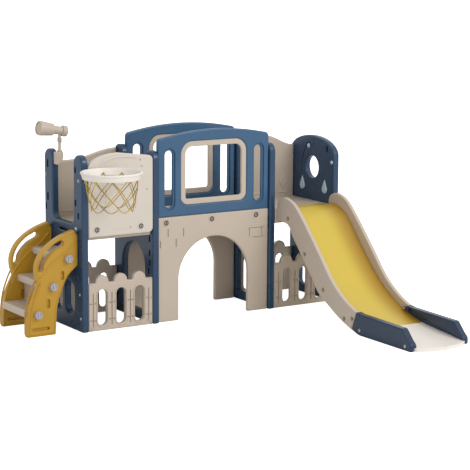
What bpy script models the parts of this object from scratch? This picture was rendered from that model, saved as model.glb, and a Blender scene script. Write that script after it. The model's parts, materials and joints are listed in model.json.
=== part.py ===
"""Kids slide play set: left tower with stairs, bridge over a crawl passage, right tower with a slide.

Metres, +Z up. X runs along the length, -Y is the front, where the slide comes down. The origin lies on the
floor at the front left corner of the left end frame.
"""

import math

import bmesh
import bpy
from mathutils import Matrix, Vector

# Overall plan
POST_HEIGHT = 1.05
POST_WIDTH = 0.108
DEPTH = 0.49
FRAME_THICKNESS = 0.042
LEFT_TOWER_WIDTH = 0.518
BRIDGE_SPAN = 0.792
RIGHT_TOWER_WIDTH = 0.528
DECK_TOP = 0.63
DECK_THICKNESS = 0.085
PANEL_THICKNESS = 0.03
JOINT_GAP = 0.0003
EDGE_CHAMFER = 0.005

# Frames
FRAME_BAR_RISE = 0.007
FRAME_CORNER = 0.05
FRAME_FOOT_CORNER = 0.006
ENTRY_SLOT_WIDTH = 0.11
ENTRY_SLOT_HEIGHT = 0.2
ENTRY_SLOT_SILL = 0.09
ENTRY_SLOT_SPACING = 0.156
GRIP_SLIT_LENGTH = 0.13
GRIP_SLIT_HEIGHT = 0.012
GRIP_SLIT_DROP = 0.05
CRAWL_SILL = 0.06
CRAWL_CROWN = 0.47
END_ARCH_RISE = 0.11
PEEP_RADIUS = 0.072
PEEP_HEIGHT = 0.845

# Panels that stand in the bays
BACKBOARD_INSET = 0.0
FENCE_INSET = 0.005
BRIDGE_INSET = 0.015
BRIDGE_REAR_INSET = 0.055
REAR_GUARD_INSET = 0.01
GUARD_DROP = 0.065
BACKBOARD_CROWN_OFFSET = 0.203
BACKBOARD_CROWN_RISE = 0.006
BACKBOARD_SHOULDER_DROP = 0.077
BACKBOARD_LEVEL_DROP = 0.02
BACKBOARD_CORNER = 0.03
LEFT_GUARD_LOW_DROP = 0.08
LEFT_GUARD_HIGH_DROP = 0.023
RIGHT_GUARD_HIGH_DROP = 0.01
RIGHT_GUARD_LOW_DROP = 0.078

# Picket fences
FENCE_SHOULDER = 0.289
FENCE_DOME_RISE = 0.046
FENCE_DOME_WIDTH = 0.09
FENCE_SLOT_COUNT = 3
FENCE_SLOT_PITCH = 0.125
FENCE_SLOT_WIDTH = 0.061
FENCE_SLOT_SILL = 0.033
FENCE_SLOT_HEIGHT = 0.215

# Bridge guards, their windows and the arch panels below them
ARCH_PANEL_RISE = 0.0125
BRIDGE_SHOULDER = 1.123
BRIDGE_CROWN_RISE = 0.038
BRIDGE_CORNER = 0.03
WINDOW_WIDTH = 0.468
WINDOW_HEAD_DROP = 0.0292
WINDOW_SILL = 0.065
WINDOW_TOP_CORNER = 0.08
WINDOW_BOTTOM_CORNER = 0.05
TRIM_WIDTH = 0.034
TRIM_THICKNESS = 0.018
GUARD_SLOT_OFFSET = 0.318
GUARD_SLOT_WIDTH = 0.055
GUARD_SLOT_HEAD_DROP = 0.0782
GUARD_SLOT_SILL = 0.055
DOORWAY_WIDTH = 0.5
DOORWAY_SPRING = 0.251

# Stairs
STAIR_INNER_WIDTH = 0.296
STAIR_SIDE_THICKNESS = 0.045
STAIR_REACH = 0.332
STAIR_SIDE_TOP = 0.612
STAIR_FOOT_LENGTH = 0.183
STAIR_STEP_COUNT = 3
STEP_THICKNESS = 0.045
RISER_THICKNESS = 0.016
STEP_OVERHANG = 0.004
STEP_NOSE_SHIFT = 0.1
STEP_OVERLAP = 0.061
STEP_CORNER = 0.012
HANDRAIL_SLOT_WIDTH = 0.034
CAP_RADIUS = 0.0235
CAP_EDGE = 0.004
CAP_STANDOUT = 0.024
CAP_SHANK_RADIUS = 0.009
CAP_SHANK_DEPTH = 0.02
CAP_SETBACK = 0.068
CAP_DROP = 0.026
BORE_CLEARANCE = 0.0004

# Slide
SLIDE_WIDTH = 0.42
SLIDE_WALL_THICKNESS = 0.026
SLIDE_REACH = 1.425
SLIDE_SIDE_REACH = 1.37
CHUTE_THICKNESS = 0.02
CHUTE_END = 0.98
CHUTE_LIP_RISE = 0.01
CHUTE_LIP_OVERLAP = 0.03
CHUTE_FLANK_RISE = 0.022
FLANK_FADE_IN = 0.2
RUN_OUT_STEPS = 6
SHEET_CLEARANCE = 0.0008
WALL_END = 0.847
WALL_FOOT_END = 0.8
BUMPER_THICKNESS = 0.042
BUMPER_TOP = 0.129
BUMPER_NOSE = 0.085
BUMPER_FALL = 0.006
TAB_LENGTH = 0.04

# Basketball hoop
HOOP_DROP = 0.09
HOOP_OFFSET = 0.0555
RING_RADIUS = 0.182
RING_HEIGHT = 0.033
RING_THICKNESS = 0.012
RING_TAPER = 0.014
RING_CLEARANCE = 0.003
BRACKET_WIDTH = 0.08
BRACKET_DEPTH = 0.0245
BRACKET_HEIGHT = 0.05
NET_LENGTH = 0.195
NET_BOTTOM_RADIUS = 0.118
NET_BULGE = 1.8
NET_CORD = 0.0045
NET_SEAT = 0.0034
NET_COLUMNS = 8
NET_ROWS = 4

# Telescope on the rear left upright
CLAMP_LENGTH = 0.05
CLAMP_LEFT_OF_STEM = 0.0325
CLAMP_CORNER = 0.006
CLAMP_DEPTH = 0.036
CLAMP_HEIGHT = 0.076
CLAMP_DROP = 0.014
STEM_X = 0.041
STEM_RADIUS = 0.0095
STEM_NECK_RADIUS = 0.0076
STEM_SEAT = 0.03
COLLAR_RADIUS = 0.015
COLLAR_HEIGHT = 0.01
PIN_RISE = 0.079
PIN_RADIUS = 0.004
PIN_HEAD_RADIUS = 0.0064
PIN_HEAD_THICKNESS = 0.0024
FORK_EAR_THICKNESS = 0.007
LUG_THICKNESS = 0.012
FORK_WIDTH = 0.018
LUG_RADIUS = 0.01
BARREL_RISE = 0.047
BARREL_REST_TILT = 9.0
BARREL_FRONT = 0.15
BARREL_FRONT_RADIUS = 0.045
BARREL_STEP = 0.053
BARREL_STEP_RADIUS = 0.0365
BARREL_WAIST_RADIUS = 0.027
BARREL_NECK_RADIUS = 0.0245
BARREL_RIM_TAPER = 0.0105
LENS_RADIUS = 0.036
LENS_RECESS = 0.004
SPIGOT_RADIUS = 0.012
SPIGOT_LENGTH = 0.014
BARREL_BACK = 0.006
EYEPIECE_RADIUS = 0.033
EYEPIECE_LENGTH = 0.033
EYEPIECE_CUP_RADIUS = 0.0205
EYEPIECE_EDGE = 0.0033

# Screw caps that hold panels to the decks
SCREW_CAP_RADIUS = 0.02
SCREW_CAP_RISE = 0.003
SCREW_SHANK_RADIUS = 0.005
SCREW_DEPTH = 0.025
SCREW_DROP = 0.021
BACKBOARD_SCREW_SPACING = 0.295
BACKBOARD_SCREW_OFFSET = -0.0145
ARCH_SCREW_SPACING = 0.322
ARCH_SCREW_OFFSET = -0.018

ARC_STEPS = 4
ROUND_STEPS = 32

# Colours as they look in daylight, in 0 to 255 display values
BLUE = (60, 92, 120)
BEIGE = (214, 202, 186)
YELLOW = (198, 152, 40)
CHUTE_YELLOW = (214, 186, 72)
WHITE = (232, 226, 220)
CAP_GREY = (181, 175, 186)
NET_YELLOW = (214, 180, 70)
METAL_GREY = (150, 146, 142)


# Sizes worked out from the driving dimensions
left_bay = (FRAME_THICKNESS, LEFT_TOWER_WIDTH - FRAME_THICKNESS)
bridge_bay = (LEFT_TOWER_WIDTH, LEFT_TOWER_WIDTH + BRIDGE_SPAN)
total_length = bridge_bay[1] + RIGHT_TOWER_WIDTH
right_bay = (bridge_bay[1] + FRAME_THICKNESS, total_length - FRAME_THICKNESS)
frame_places = (0.0, left_bay[1], bridge_bay[1], right_bay[1])
deck_bottom = DECK_TOP - DECK_THICKNESS
bar_top = DECK_TOP + FRAME_BAR_RISE
guard_bottom = DECK_TOP - GUARD_DROP
arch_panel_top = DECK_TOP + ARCH_PANEL_RISE
screw_height = DECK_TOP - SCREW_DROP
hoop_height = POST_HEIGHT - HOOP_DROP
slide_centre = (right_bay[0] + right_bay[1]) / 2
stair_front_face = (DEPTH - STAIR_INNER_WIDTH) / 2 - STAIR_SIDE_THICKNESS
stair_rear_face = DEPTH - stair_front_face

parts = bpy.data.collections.new("kids_slide")
cutters = bpy.data.collections.new("cutters")


def clear_scene():
    for old in list(bpy.data.objects):
        bpy.data.objects.remove(old, do_unlink=True)


def plastic(name, colour, roughness, metallic=0.0):
    """A Principled material from a colour in 0 to 255 display values."""
    material = bpy.data.materials.new(name)
    material.use_nodes = True
    shader = material.node_tree.nodes["Principled BSDF"]
    linear = [((value / 255 + 0.055) / 1.055) ** 2.4 for value in colour]
    shader.inputs["Base Color"].default_value = (*linear, 1.0)
    shader.inputs["Roughness"].default_value = roughness
    shader.inputs["Metallic"].default_value = metallic
    material.diffuse_color = (*linear, 1.0)
    return material


def rounded(corners, steps=ARC_STEPS):
    """Outline points from (u, v, radius) corners, each rounded by an arc of that radius."""
    points = []
    count = len(corners)
    for index, (u, v, radius) in enumerate(corners):
        here = Vector((u, v))
        if radius == 0:
            points.append(here)
            continue
        to_last = (Vector(corners[index - 1][:2]) - here).normalized()
        to_next = (Vector(corners[(index + 1) % count][:2]) - here).normalized()
        half_angle = to_last.angle(to_next) / 2
        bisector = (to_last + to_next).normalized()
        centre = here + bisector * (radius / math.sin(half_angle))
        start = here + to_last * (radius / math.tan(half_angle)) - centre
        turn = math.pi - 2 * half_angle
        side = to_last.x * to_next.y - to_last.y * to_next.x
        arc_steps = max(1, round(steps * turn / (math.pi / 2)))
        for step in range(arc_steps + 1):
            angle = turn * step / arc_steps * (-1 if side > 0 else 1)
            points.append(centre + Matrix.Rotation(angle, 2) @ start)
    kept = [points[0]]
    for point in points[1:]:
        if (point - kept[-1]).length > 1e-5:
            kept.append(point)
    if (kept[0] - kept[-1]).length < 1e-5:
        kept.pop()
    return [(point.x, point.y) for point in kept]


def smooth_run(points, steps=3):
    """Points of a smooth curve through the given ones, both ends included."""
    knots = [Vector(point) for point in points]
    run = [tuple(knots[0])]
    for index in range(len(knots) - 1):
        before = knots[max(index - 1, 0)]
        start = knots[index]
        end = knots[index + 1]
        after = knots[min(index + 2, len(knots) - 1)]
        for step in range(1, steps + 1):
            t = step / steps
            leave = (end - before) / 2
            arrive = (after - start) / 2
            point = (
                start * (2 * t**3 - 3 * t**2 + 1)
                + leave * (t**3 - 2 * t**2 + t)
                + end * (3 * t**2 - 2 * t**3)
                + arrive * (t**3 - t**2)
            )
            run.append(tuple(point))
    return run


def circle(centre_u, centre_v, radius, steps=ROUND_STEPS):
    return [
        (
            centre_u + radius * math.cos(2 * math.pi * step / steps),
            centre_v + radius * math.sin(2 * math.pi * step / steps),
        )
        for step in range(steps)
    ]


def upright_slot(centre, sill, width, height, steps=3):
    """A slot with round ends, standing on its sill."""
    left = centre - width / 2
    right = centre + width / 2
    top = sill + height
    radius = width / 2
    corners = [(left, sill, radius), (right, sill, radius), (right, top, radius), (left, top, radius)]
    return rounded(corners, steps)


def put(name, mesh, material, collection=parts):
    item = bpy.data.objects.new(name, mesh)
    collection.objects.link(item)
    if material:
        mesh.materials.clear()
        mesh.materials.append(material)
    return item


def chamfer(item, width):
    edge = item.modifiers.new("edge", "BEVEL")
    edge.width = width
    edge.segments = 1
    edge.limit_method = "ANGLE"
    edge.angle_limit = math.radians(50)
    edge.use_clamp_overlap = True


def outline_solid(name, outline, holes, thickness, material, collection=parts):
    """A flat outline with holes, as a welded solid of the given thickness about its local XY plane."""
    curve = bpy.data.curves.new(name, "CURVE")
    curve.dimensions = "2D"
    curve.fill_mode = "BOTH"
    curve.extrude = thickness / 2
    for loop in [outline, *holes]:
        spline = curve.splines.new("POLY")
        spline.points.add(len(loop) - 1)
        for point, (u, v) in zip(spline.points, loop):
            point.co = (u, v, 0.0, 1.0)
        spline.use_cyclic_u = True
    guide = bpy.data.objects.new(name + "_outline", curve)
    collection.objects.link(guide)
    graph = bpy.context.evaluated_depsgraph_get()
    mesh = bpy.data.meshes.new_from_object(guide.evaluated_get(graph))
    bpy.data.objects.remove(guide, do_unlink=True)
    shape = bmesh.new()
    shape.from_mesh(mesh)
    bmesh.ops.remove_doubles(shape, verts=shape.verts, dist=0.00001)
    bmesh.ops.recalc_face_normals(shape, faces=shape.faces)
    shape.to_mesh(mesh)
    shape.free()
    return put(name, mesh, material, collection)


def panel(name, outline, holes, front, thickness, material, edge=EDGE_CHAMFER):
    """A solid whose outline lies in X and Z and whose front face is at the given Y."""
    item = outline_solid(name, outline, holes, thickness, material)
    item.rotation_euler = (math.pi / 2, 0.0, 0.0)
    item.location.y = front + thickness / 2
    if edge:
        chamfer(item, edge)
    return item


def frame(name, outline, holes, left, thickness, material, edge=EDGE_CHAMFER):
    """A solid whose outline lies in Y and Z and whose left face is at the given X."""
    item = outline_solid(name, outline, holes, thickness, material)
    item.rotation_euler = (math.pi / 2, 0.0, math.pi / 2)
    item.location.x = left + thickness / 2
    if edge:
        chamfer(item, edge)
    return item


def box(name, low, high, material, edge=EDGE_CHAMFER, collection=parts):
    """A block from its low corner to its high corner."""
    low = Vector(low)
    high = Vector(high)
    mesh = bpy.data.meshes.new(name)
    shape = bmesh.new()
    bmesh.ops.create_cube(shape, size=1.0)
    bmesh.ops.scale(shape, vec=high - low, verts=shape.verts)
    shape.to_mesh(mesh)
    shape.free()
    item = put(name, mesh, material, collection)
    item.location = (low + high) / 2
    if edge:
        chamfer(item, edge)
    return item


def turned(name, profile, material, steps=ROUND_STEPS, collection=parts):
    """A solid of revolution about local Z from (radius, height) points."""
    mesh = bpy.data.meshes.new(name)
    shape = bmesh.new()
    points = [shape.verts.new((radius, 0.0, height)) for radius, height in profile]
    for first, second in zip(points, points[1:]):
        shape.edges.new((first, second))
    if profile[0][0] > 0:
        shape.edges.new((points[-1], points[0]))
    shape.to_mesh(mesh)
    shape.free()
    item = put(name, mesh, material, collection)
    screw = item.modifiers.new("turn", "SCREW")
    screw.steps = steps
    screw.render_steps = steps
    screw.use_merge_vertices = True
    screw.merge_threshold = 0.00001
    mesh.shade_smooth()
    return item


def rod(name, start, end, radius, material, steps=ROUND_STEPS, collection=parts):
    """A plain cylinder between two points."""
    start = Vector(start)
    end = Vector(end)
    mesh = bpy.data.meshes.new(name)
    shape = bmesh.new()
    bmesh.ops.create_cone(
        shape,
        cap_ends=True,
        segments=steps,
        radius1=radius,
        radius2=radius,
        depth=(end - start).length,
    )
    shape.to_mesh(mesh)
    shape.free()
    item = put(name, mesh, material, collection)
    item.rotation_euler = (end - start).to_track_quat("Z", "Y").to_euler()
    item.location = (start + end) / 2
    return item


def hide_cutter(item):
    item.hide_render = True
    item.display_type = "WIRE"
    return item


def boolean(item, other, operation):
    step = item.modifiers.new(operation.lower(), "BOOLEAN")
    step.operation = operation
    step.object = other
    step.solver = "EXACT"


def cut(item, cutter):
    boolean(item, cutter, "DIFFERENCE")


# Frames that stand across the set
def post_tops():
    """Corners of two uprights with round tops, joined by a bar at deck height."""
    half = POST_WIDTH / 2
    inner = DEPTH - POST_WIDTH
    return [
        (DEPTH, 0.0, FRAME_FOOT_CORNER),
        (DEPTH, POST_HEIGHT, half),
        (inner, POST_HEIGHT, half),
        (inner, bar_top, FRAME_CORNER),
        (POST_WIDTH, bar_top, FRAME_CORNER),
        (POST_WIDTH, POST_HEIGHT, half),
        (0.0, POST_HEIGHT, half),
        (0.0, 0.0, FRAME_FOOT_CORNER),
    ]


def crawl_hole():
    inner = DEPTH - POST_WIDTH
    crown = (inner - POST_WIDTH) / 2
    corners = [
        (POST_WIDTH, CRAWL_SILL, FRAME_CORNER / 2),
        (inner, CRAWL_SILL, FRAME_CORNER / 2),
        (inner, CRAWL_CROWN, crown),
        (POST_WIDTH, CRAWL_CROWN, crown),
    ]
    return rounded(corners)


def build_frames(blue):
    outline = rounded(post_tops())
    slit_sill = bar_top - GRIP_SLIT_DROP - GRIP_SLIT_HEIGHT / 2
    slit_radius = GRIP_SLIT_HEIGHT / 2
    slit_start = (DEPTH - GRIP_SLIT_LENGTH) / 2
    slit_end = slit_start + GRIP_SLIT_LENGTH
    slit_top = slit_sill + GRIP_SLIT_HEIGHT
    slit = rounded(
        [
            (slit_start, slit_sill, slit_radius),
            (slit_end, slit_sill, slit_radius),
            (slit_end, slit_top, slit_radius),
            (slit_start, slit_top, slit_radius),
        ],
        2,
    )
    entry_slots = []
    for side in (-1, 1):
        centre = DEPTH / 2 + side * ENTRY_SLOT_SPACING / 2
        entry_slots.append(upright_slot(centre, ENTRY_SLOT_SILL, ENTRY_SLOT_WIDTH, ENTRY_SLOT_HEIGHT))
    frame("left_end_frame", outline, [slit, *entry_slots], frame_places[0], FRAME_THICKNESS, blue)
    frame("left_partition_frame", outline, [crawl_hole()], frame_places[1], FRAME_THICKNESS, blue)
    frame("right_partition_frame", outline, [crawl_hole()], frame_places[2], FRAME_THICKNESS, blue)

    half = DEPTH / 2
    arch_steps = 14
    spring = POST_HEIGHT - END_ARCH_RISE
    crown = []
    for step in range(arch_steps + 1):
        angle = math.pi * step / arch_steps
        crown.append((half + half * math.cos(angle), spring + END_ARCH_RISE * math.sin(angle)))
    end_outline = [(0.0, 0.0), (DEPTH, 0.0), *crown]
    peep = circle(half, PEEP_HEIGHT, PEEP_RADIUS, 24)
    frame("right_end_frame", end_outline, [crawl_hole(), peep], frame_places[3], FRAME_THICKNESS, blue)


# Panels that stand in the bays
def bay_edges(bay):
    return bay[0] + JOINT_GAP, bay[1] - JOINT_GAP


def build_backboard(beige):
    left, right = bay_edges(left_bay)
    crown_x = left_bay[0] + BACKBOARD_CROWN_OFFSET
    crown_top = POST_HEIGHT + BACKBOARD_CROWN_RISE
    shoulder = POST_HEIGHT - BACKBOARD_SHOULDER_DROP
    level = POST_HEIGHT - BACKBOARD_LEVEL_DROP
    rise = crown_top - shoulder
    sweep_steps = 8
    sweep = [
        (
            crown_x - (crown_x - left) * math.cos(math.pi / 2 * step / sweep_steps),
            shoulder + rise * math.sin(math.pi / 2 * step / sweep_steps),
        )
        for step in range(sweep_steps + 1)
    ]
    fall_end = right - BACKBOARD_CORNER
    fall_middle = (crown_x + fall_end) / 2
    fall = smooth_run([(crown_x, crown_top), (fall_middle, (crown_top + level) / 2), (fall_end, level)])
    corners = rounded(
        [
            (left, guard_bottom, 0.0),
            (left, level, 0.0),
            (right, level, BACKBOARD_CORNER),
            (right, guard_bottom, BACKBOARD_CORNER),
        ]
    )
    right_side = corners[2:]
    outline = [corners[0], *sweep, *fall[1:-1], *right_side]
    return panel("hoop_backboard", outline, [], BACKBOARD_INSET, PANEL_THICKNESS, beige)


def build_left_rear_guard(beige):
    left, right = bay_edges(left_bay)
    low = POST_HEIGHT - LEFT_GUARD_LOW_DROP
    high = POST_HEIGHT - LEFT_GUARD_HIGH_DROP
    rise_steps = 10
    rise_start = left + (right - left) / 4
    rise = [
        (
            rise_start + (right - rise_start) * step / rise_steps,
            low + (high - low) * (1 - math.cos(math.pi * step / rise_steps)) / 2,
        )
        for step in range(rise_steps + 1)
    ]
    outline = [(right, guard_bottom), *reversed(rise), (left, low), (left, guard_bottom)]
    front = DEPTH - REAR_GUARD_INSET - PANEL_THICKNESS
    panel("left_rear_guard", outline, [], front, PANEL_THICKNESS, beige)


def build_right_rear_guard(beige):
    left, right = bay_edges(right_bay)
    high = POST_HEIGHT - RIGHT_GUARD_HIGH_DROP
    low = POST_HEIGHT - RIGHT_GUARD_LOW_DROP
    fall_steps = 10
    fall_start = (left + right) / 2
    fall = [
        (
            fall_start + (right - fall_start) * step / fall_steps,
            high + (low - high) * (1 - math.cos(math.pi * step / fall_steps)) / 2,
        )
        for step in range(fall_steps + 1)
    ]
    outline = [(left, guard_bottom), (left, high), *fall, (right, guard_bottom)]
    front = DEPTH - REAR_GUARD_INSET - PANEL_THICKNESS
    panel("right_rear_guard", outline, [], front, PANEL_THICKNESS, beige)


def build_fence(name, bay, front, beige):
    """Three pickets with domed heads, each with an upright slot."""
    left, right = bay_edges(bay)
    middle = (bay[0] + bay[1]) / 2
    first = middle - (FENCE_SLOT_COUNT - 1) / 2 * FENCE_SLOT_PITCH
    centres = [first + index * FENCE_SLOT_PITCH for index in range(FENCE_SLOT_COUNT)]
    dome_steps = 8
    top = [(right, FENCE_SHOULDER)]
    for centre in reversed(centres):
        for step in range(dome_steps + 1):
            angle = math.pi * step / dome_steps
            across = centre + FENCE_DOME_WIDTH / 2 * math.cos(angle)
            top.append((across, FENCE_SHOULDER + FENCE_DOME_RISE * math.sin(angle)))
    top.append((left, FENCE_SHOULDER))
    outline = [(left, 0.0), (right, 0.0), *top]
    slots = [upright_slot(centre, FENCE_SLOT_SILL, FENCE_SLOT_WIDTH, FENCE_SLOT_HEIGHT) for centre in centres]
    panel(name, outline, slots, front, PANEL_THICKNESS, beige)


def window_outline(width, height, sill, top_corner, bottom_corner, centre):
    left = centre - width / 2
    right = centre + width / 2
    top = sill + height
    corners = [
        (left, sill, bottom_corner),
        (right, sill, bottom_corner),
        (right, top, top_corner),
        (left, top, top_corner),
    ]
    return rounded(corners)


def build_bridge_side(side, front, blue, beige):
    """One side of the bridge: guard with window and slots, window trim, and the arch panel below."""
    left, right = bay_edges(bridge_bay)
    centre = (left + right) / 2
    bottom = arch_panel_top + JOINT_GAP
    crown = BRIDGE_SHOULDER + BRIDGE_CROWN_RISE
    crown_steps = 10
    top = []
    for step in range(crown_steps + 1):
        share = 2 * step / crown_steps - 1
        across = centre - share * (right - centre - BRIDGE_CORNER)
        top.append((across, crown - BRIDGE_CROWN_RISE * share**2))
    corners = rounded(
        [
            (left, bottom, 0.0),
            (right, bottom, 0.0),
            (right, BRIDGE_SHOULDER, BRIDGE_CORNER),
            (left, BRIDGE_SHOULDER, BRIDGE_CORNER),
        ]
    )
    right_corner = corners[2 : 2 + (len(corners) - 2) // 2]
    left_corner = corners[2 + (len(corners) - 2) // 2 :]
    outline = [*corners[:2], *right_corner, *top[1:-1], *left_corner]

    sill = bottom + WINDOW_SILL
    window_height = BRIDGE_SHOULDER - WINDOW_HEAD_DROP - sill
    window = window_outline(
        WINDOW_WIDTH, window_height, sill, WINDOW_TOP_CORNER, WINDOW_BOTTOM_CORNER, centre
    )
    slot_sill = bottom + GUARD_SLOT_SILL
    slot_height = BRIDGE_SHOULDER - GUARD_SLOT_HEAD_DROP - slot_sill
    slots = []
    for way in (-1, 1):
        slot_centre = centre + way * GUARD_SLOT_OFFSET
        slots.append(upright_slot(slot_centre, slot_sill, GUARD_SLOT_WIDTH, slot_height))
    panel(f"bridge_{side}_guard", outline, [window, *slots], front, PANEL_THICKNESS, blue)

    trim_outer = window_outline(
        WINDOW_WIDTH - 2 * JOINT_GAP,
        window_height - 2 * JOINT_GAP,
        sill + JOINT_GAP,
        WINDOW_TOP_CORNER - JOINT_GAP,
        WINDOW_BOTTOM_CORNER - JOINT_GAP,
        centre,
    )
    trim_inner = window_outline(
        WINDOW_WIDTH - 2 * TRIM_WIDTH,
        window_height - 2 * TRIM_WIDTH,
        sill + TRIM_WIDTH,
        WINDOW_TOP_CORNER - TRIM_WIDTH,
        WINDOW_BOTTOM_CORNER - TRIM_WIDTH,
        centre,
    )
    trim_front = front + (PANEL_THICKNESS - TRIM_THICKNESS) / 2
    panel(f"{side}_window_trim", trim_outer, [trim_inner], trim_front, TRIM_THICKNESS, beige, 0.0)

    radius = DOORWAY_WIDTH / 2
    arch_steps = 16
    doorway = []
    for step in range(arch_steps + 1):
        angle = math.pi * step / arch_steps
        doorway.append((centre - radius * math.cos(angle), DOORWAY_SPRING + radius * math.sin(angle)))
    outline = [
        (left, 0.0),
        (centre - radius, 0.0),
        *doorway,
        (centre + radius, 0.0),
        (right, 0.0),
        (right, arch_panel_top),
        (left, arch_panel_top),
    ]
    return panel(f"bridge_{side}_arch", outline, [], front, PANEL_THICKNESS, beige)


def build_decks(beige):
    rear_guard_front = DEPTH - REAR_GUARD_INSET - PANEL_THICKNESS
    edges = {
        "left_deck": (left_bay, BACKBOARD_INSET + PANEL_THICKNESS + JOINT_GAP, rear_guard_front - JOINT_GAP),
        "bridge_deck": (
            bridge_bay,
            BRIDGE_INSET + PANEL_THICKNESS + JOINT_GAP,
            DEPTH - BRIDGE_REAR_INSET - PANEL_THICKNESS - JOINT_GAP,
        ),
        "right_deck": (right_bay, 0.0, rear_guard_front - JOINT_GAP),
    }
    decks = {}
    for name, (bay, front, rear) in edges.items():
        left, right = bay_edges(bay)
        decks[name] = box(name, (left, front, deck_bottom), (right, rear, DECK_TOP), beige)
    return decks


# Screw caps
def build_screw_caps(name, places, face, pieces, material):
    """Round caps whose shanks run through a panel into the deck edge behind it."""
    for number, x in enumerate(places, 1):
        end = face + PANEL_THICKNESS + SCREW_DEPTH
        hole = rod(
            f"{name}_hole_{number}",
            (x, face - SCREW_CAP_RISE, screw_height),
            (x, end + JOINT_GAP, screw_height),
            SCREW_SHANK_RADIUS + BORE_CLEARANCE,
            None,
            12,
            cutters,
        )
        hide_cutter(hole)
        for piece in pieces:
            cut(piece, hole)
        profile = [
            (0.0, SCREW_CAP_RISE + JOINT_GAP),
            (SCREW_CAP_RADIUS - SCREW_CAP_RISE, SCREW_CAP_RISE + JOINT_GAP),
            (SCREW_CAP_RADIUS, JOINT_GAP),
            (SCREW_SHANK_RADIUS, JOINT_GAP),
            (SCREW_SHANK_RADIUS, face - end),
            (0.0, face - end),
        ]
        screw = turned(f"{name}_screw_{number}", profile, material, 16)
        screw.rotation_euler = (math.pi / 2, 0.0, 0.0)
        screw.location = (x, face, screw_height)


# Stairs
def stair_side_outline():
    """Side panel seen from the front, with its curved front edge and the rounded handrail bow on top."""
    rail_foot = (-0.774 * STAIR_REACH, 0.502 * STAIR_SIDE_TOP)
    front_edge = smooth_run(
        [
            (-STAIR_REACH, 0.0),
            (-0.99 * STAIR_REACH, 0.15 * STAIR_SIDE_TOP),
            (-0.93 * STAIR_REACH, 0.325 * STAIR_SIDE_TOP),
            rail_foot,
        ],
        3,
    )
    rail_edge = smooth_run(
        [
            rail_foot,
            (-0.822 * STAIR_REACH, 0.588 * STAIR_SIDE_TOP),
            (-0.82 * STAIR_REACH, 0.69 * STAIR_SIDE_TOP),
            (-0.73 * STAIR_REACH, 0.796 * STAIR_SIDE_TOP),
            (-0.57 * STAIR_REACH, 0.88 * STAIR_SIDE_TOP),
            (-0.34 * STAIR_REACH, 0.952 * STAIR_SIDE_TOP),
            (-0.08 * STAIR_REACH, STAIR_SIDE_TOP),
        ],
        3,
    )
    back = -JOINT_GAP
    foot_back = -STAIR_REACH + STAIR_FOOT_LENGTH
    back_edge = smooth_run(
        [
            (back, 0.655 * STAIR_SIDE_TOP),
            (-0.2 * STAIR_REACH, 0.56 * STAIR_SIDE_TOP),
            (-0.31 * STAIR_REACH, 0.44 * STAIR_SIDE_TOP),
            (-0.41 * STAIR_REACH, 0.275 * STAIR_SIDE_TOP),
            (foot_back, 0.0),
        ],
        3,
    )
    return [*front_edge, *rail_edge[1:], (back, 0.95 * STAIR_SIDE_TOP), *back_edge]


def handrail_hole():
    """Curved slot between the handrail bow and the panel, with round ends."""
    middle = smooth_run(
        [
            (-0.736 * STAIR_REACH, 0.65 * STAIR_SIDE_TOP),
            (-0.713 * STAIR_REACH, 0.71 * STAIR_SIDE_TOP),
            (-0.623 * STAIR_REACH, 0.778 * STAIR_SIDE_TOP),
            (-0.497 * STAIR_REACH, 0.838 * STAIR_SIDE_TOP),
            (-0.33 * STAIR_REACH, 0.882 * STAIR_SIDE_TOP),
        ],
        3,
    )
    radius = HANDRAIL_SLOT_WIDTH / 2
    outer = []
    inner = []
    for index, here in enumerate(middle):
        ahead = Vector(middle[min(index + 1, len(middle) - 1)])
        behind = Vector(middle[max(index - 1, 0)])
        along = (ahead - behind).normalized()
        across = Vector((-along.y, along.x)) * radius
        outer.append(tuple(Vector(here) + across))
        inner.append(tuple(Vector(here) - across))
    end_steps = 5
    far_along = (Vector(middle[-1]) - Vector(middle[-2])).normalized()
    near_along = (Vector(middle[0]) - Vector(middle[1])).normalized()

    def round_end(centre, along):
        side = Vector((-along.y, along.x))
        return [
            tuple(
                Vector(centre)
                + side * radius * math.cos(math.pi * step / end_steps)
                + along * radius * math.sin(math.pi * step / end_steps)
            )
            for step in range(1, end_steps)
        ]

    return [*outer, *round_end(middle[-1], far_along), *reversed(inner), *round_end(middle[0], near_along)]


def step_front(index):
    """X of the front edge of a step, counted from the lowest."""
    return -STAIR_REACH - STEP_OVERHANG + index * STEP_NOSE_SHIFT


def step_top(index):
    return DECK_TOP * (index + 1) / (STAIR_STEP_COUNT + 1)


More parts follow.
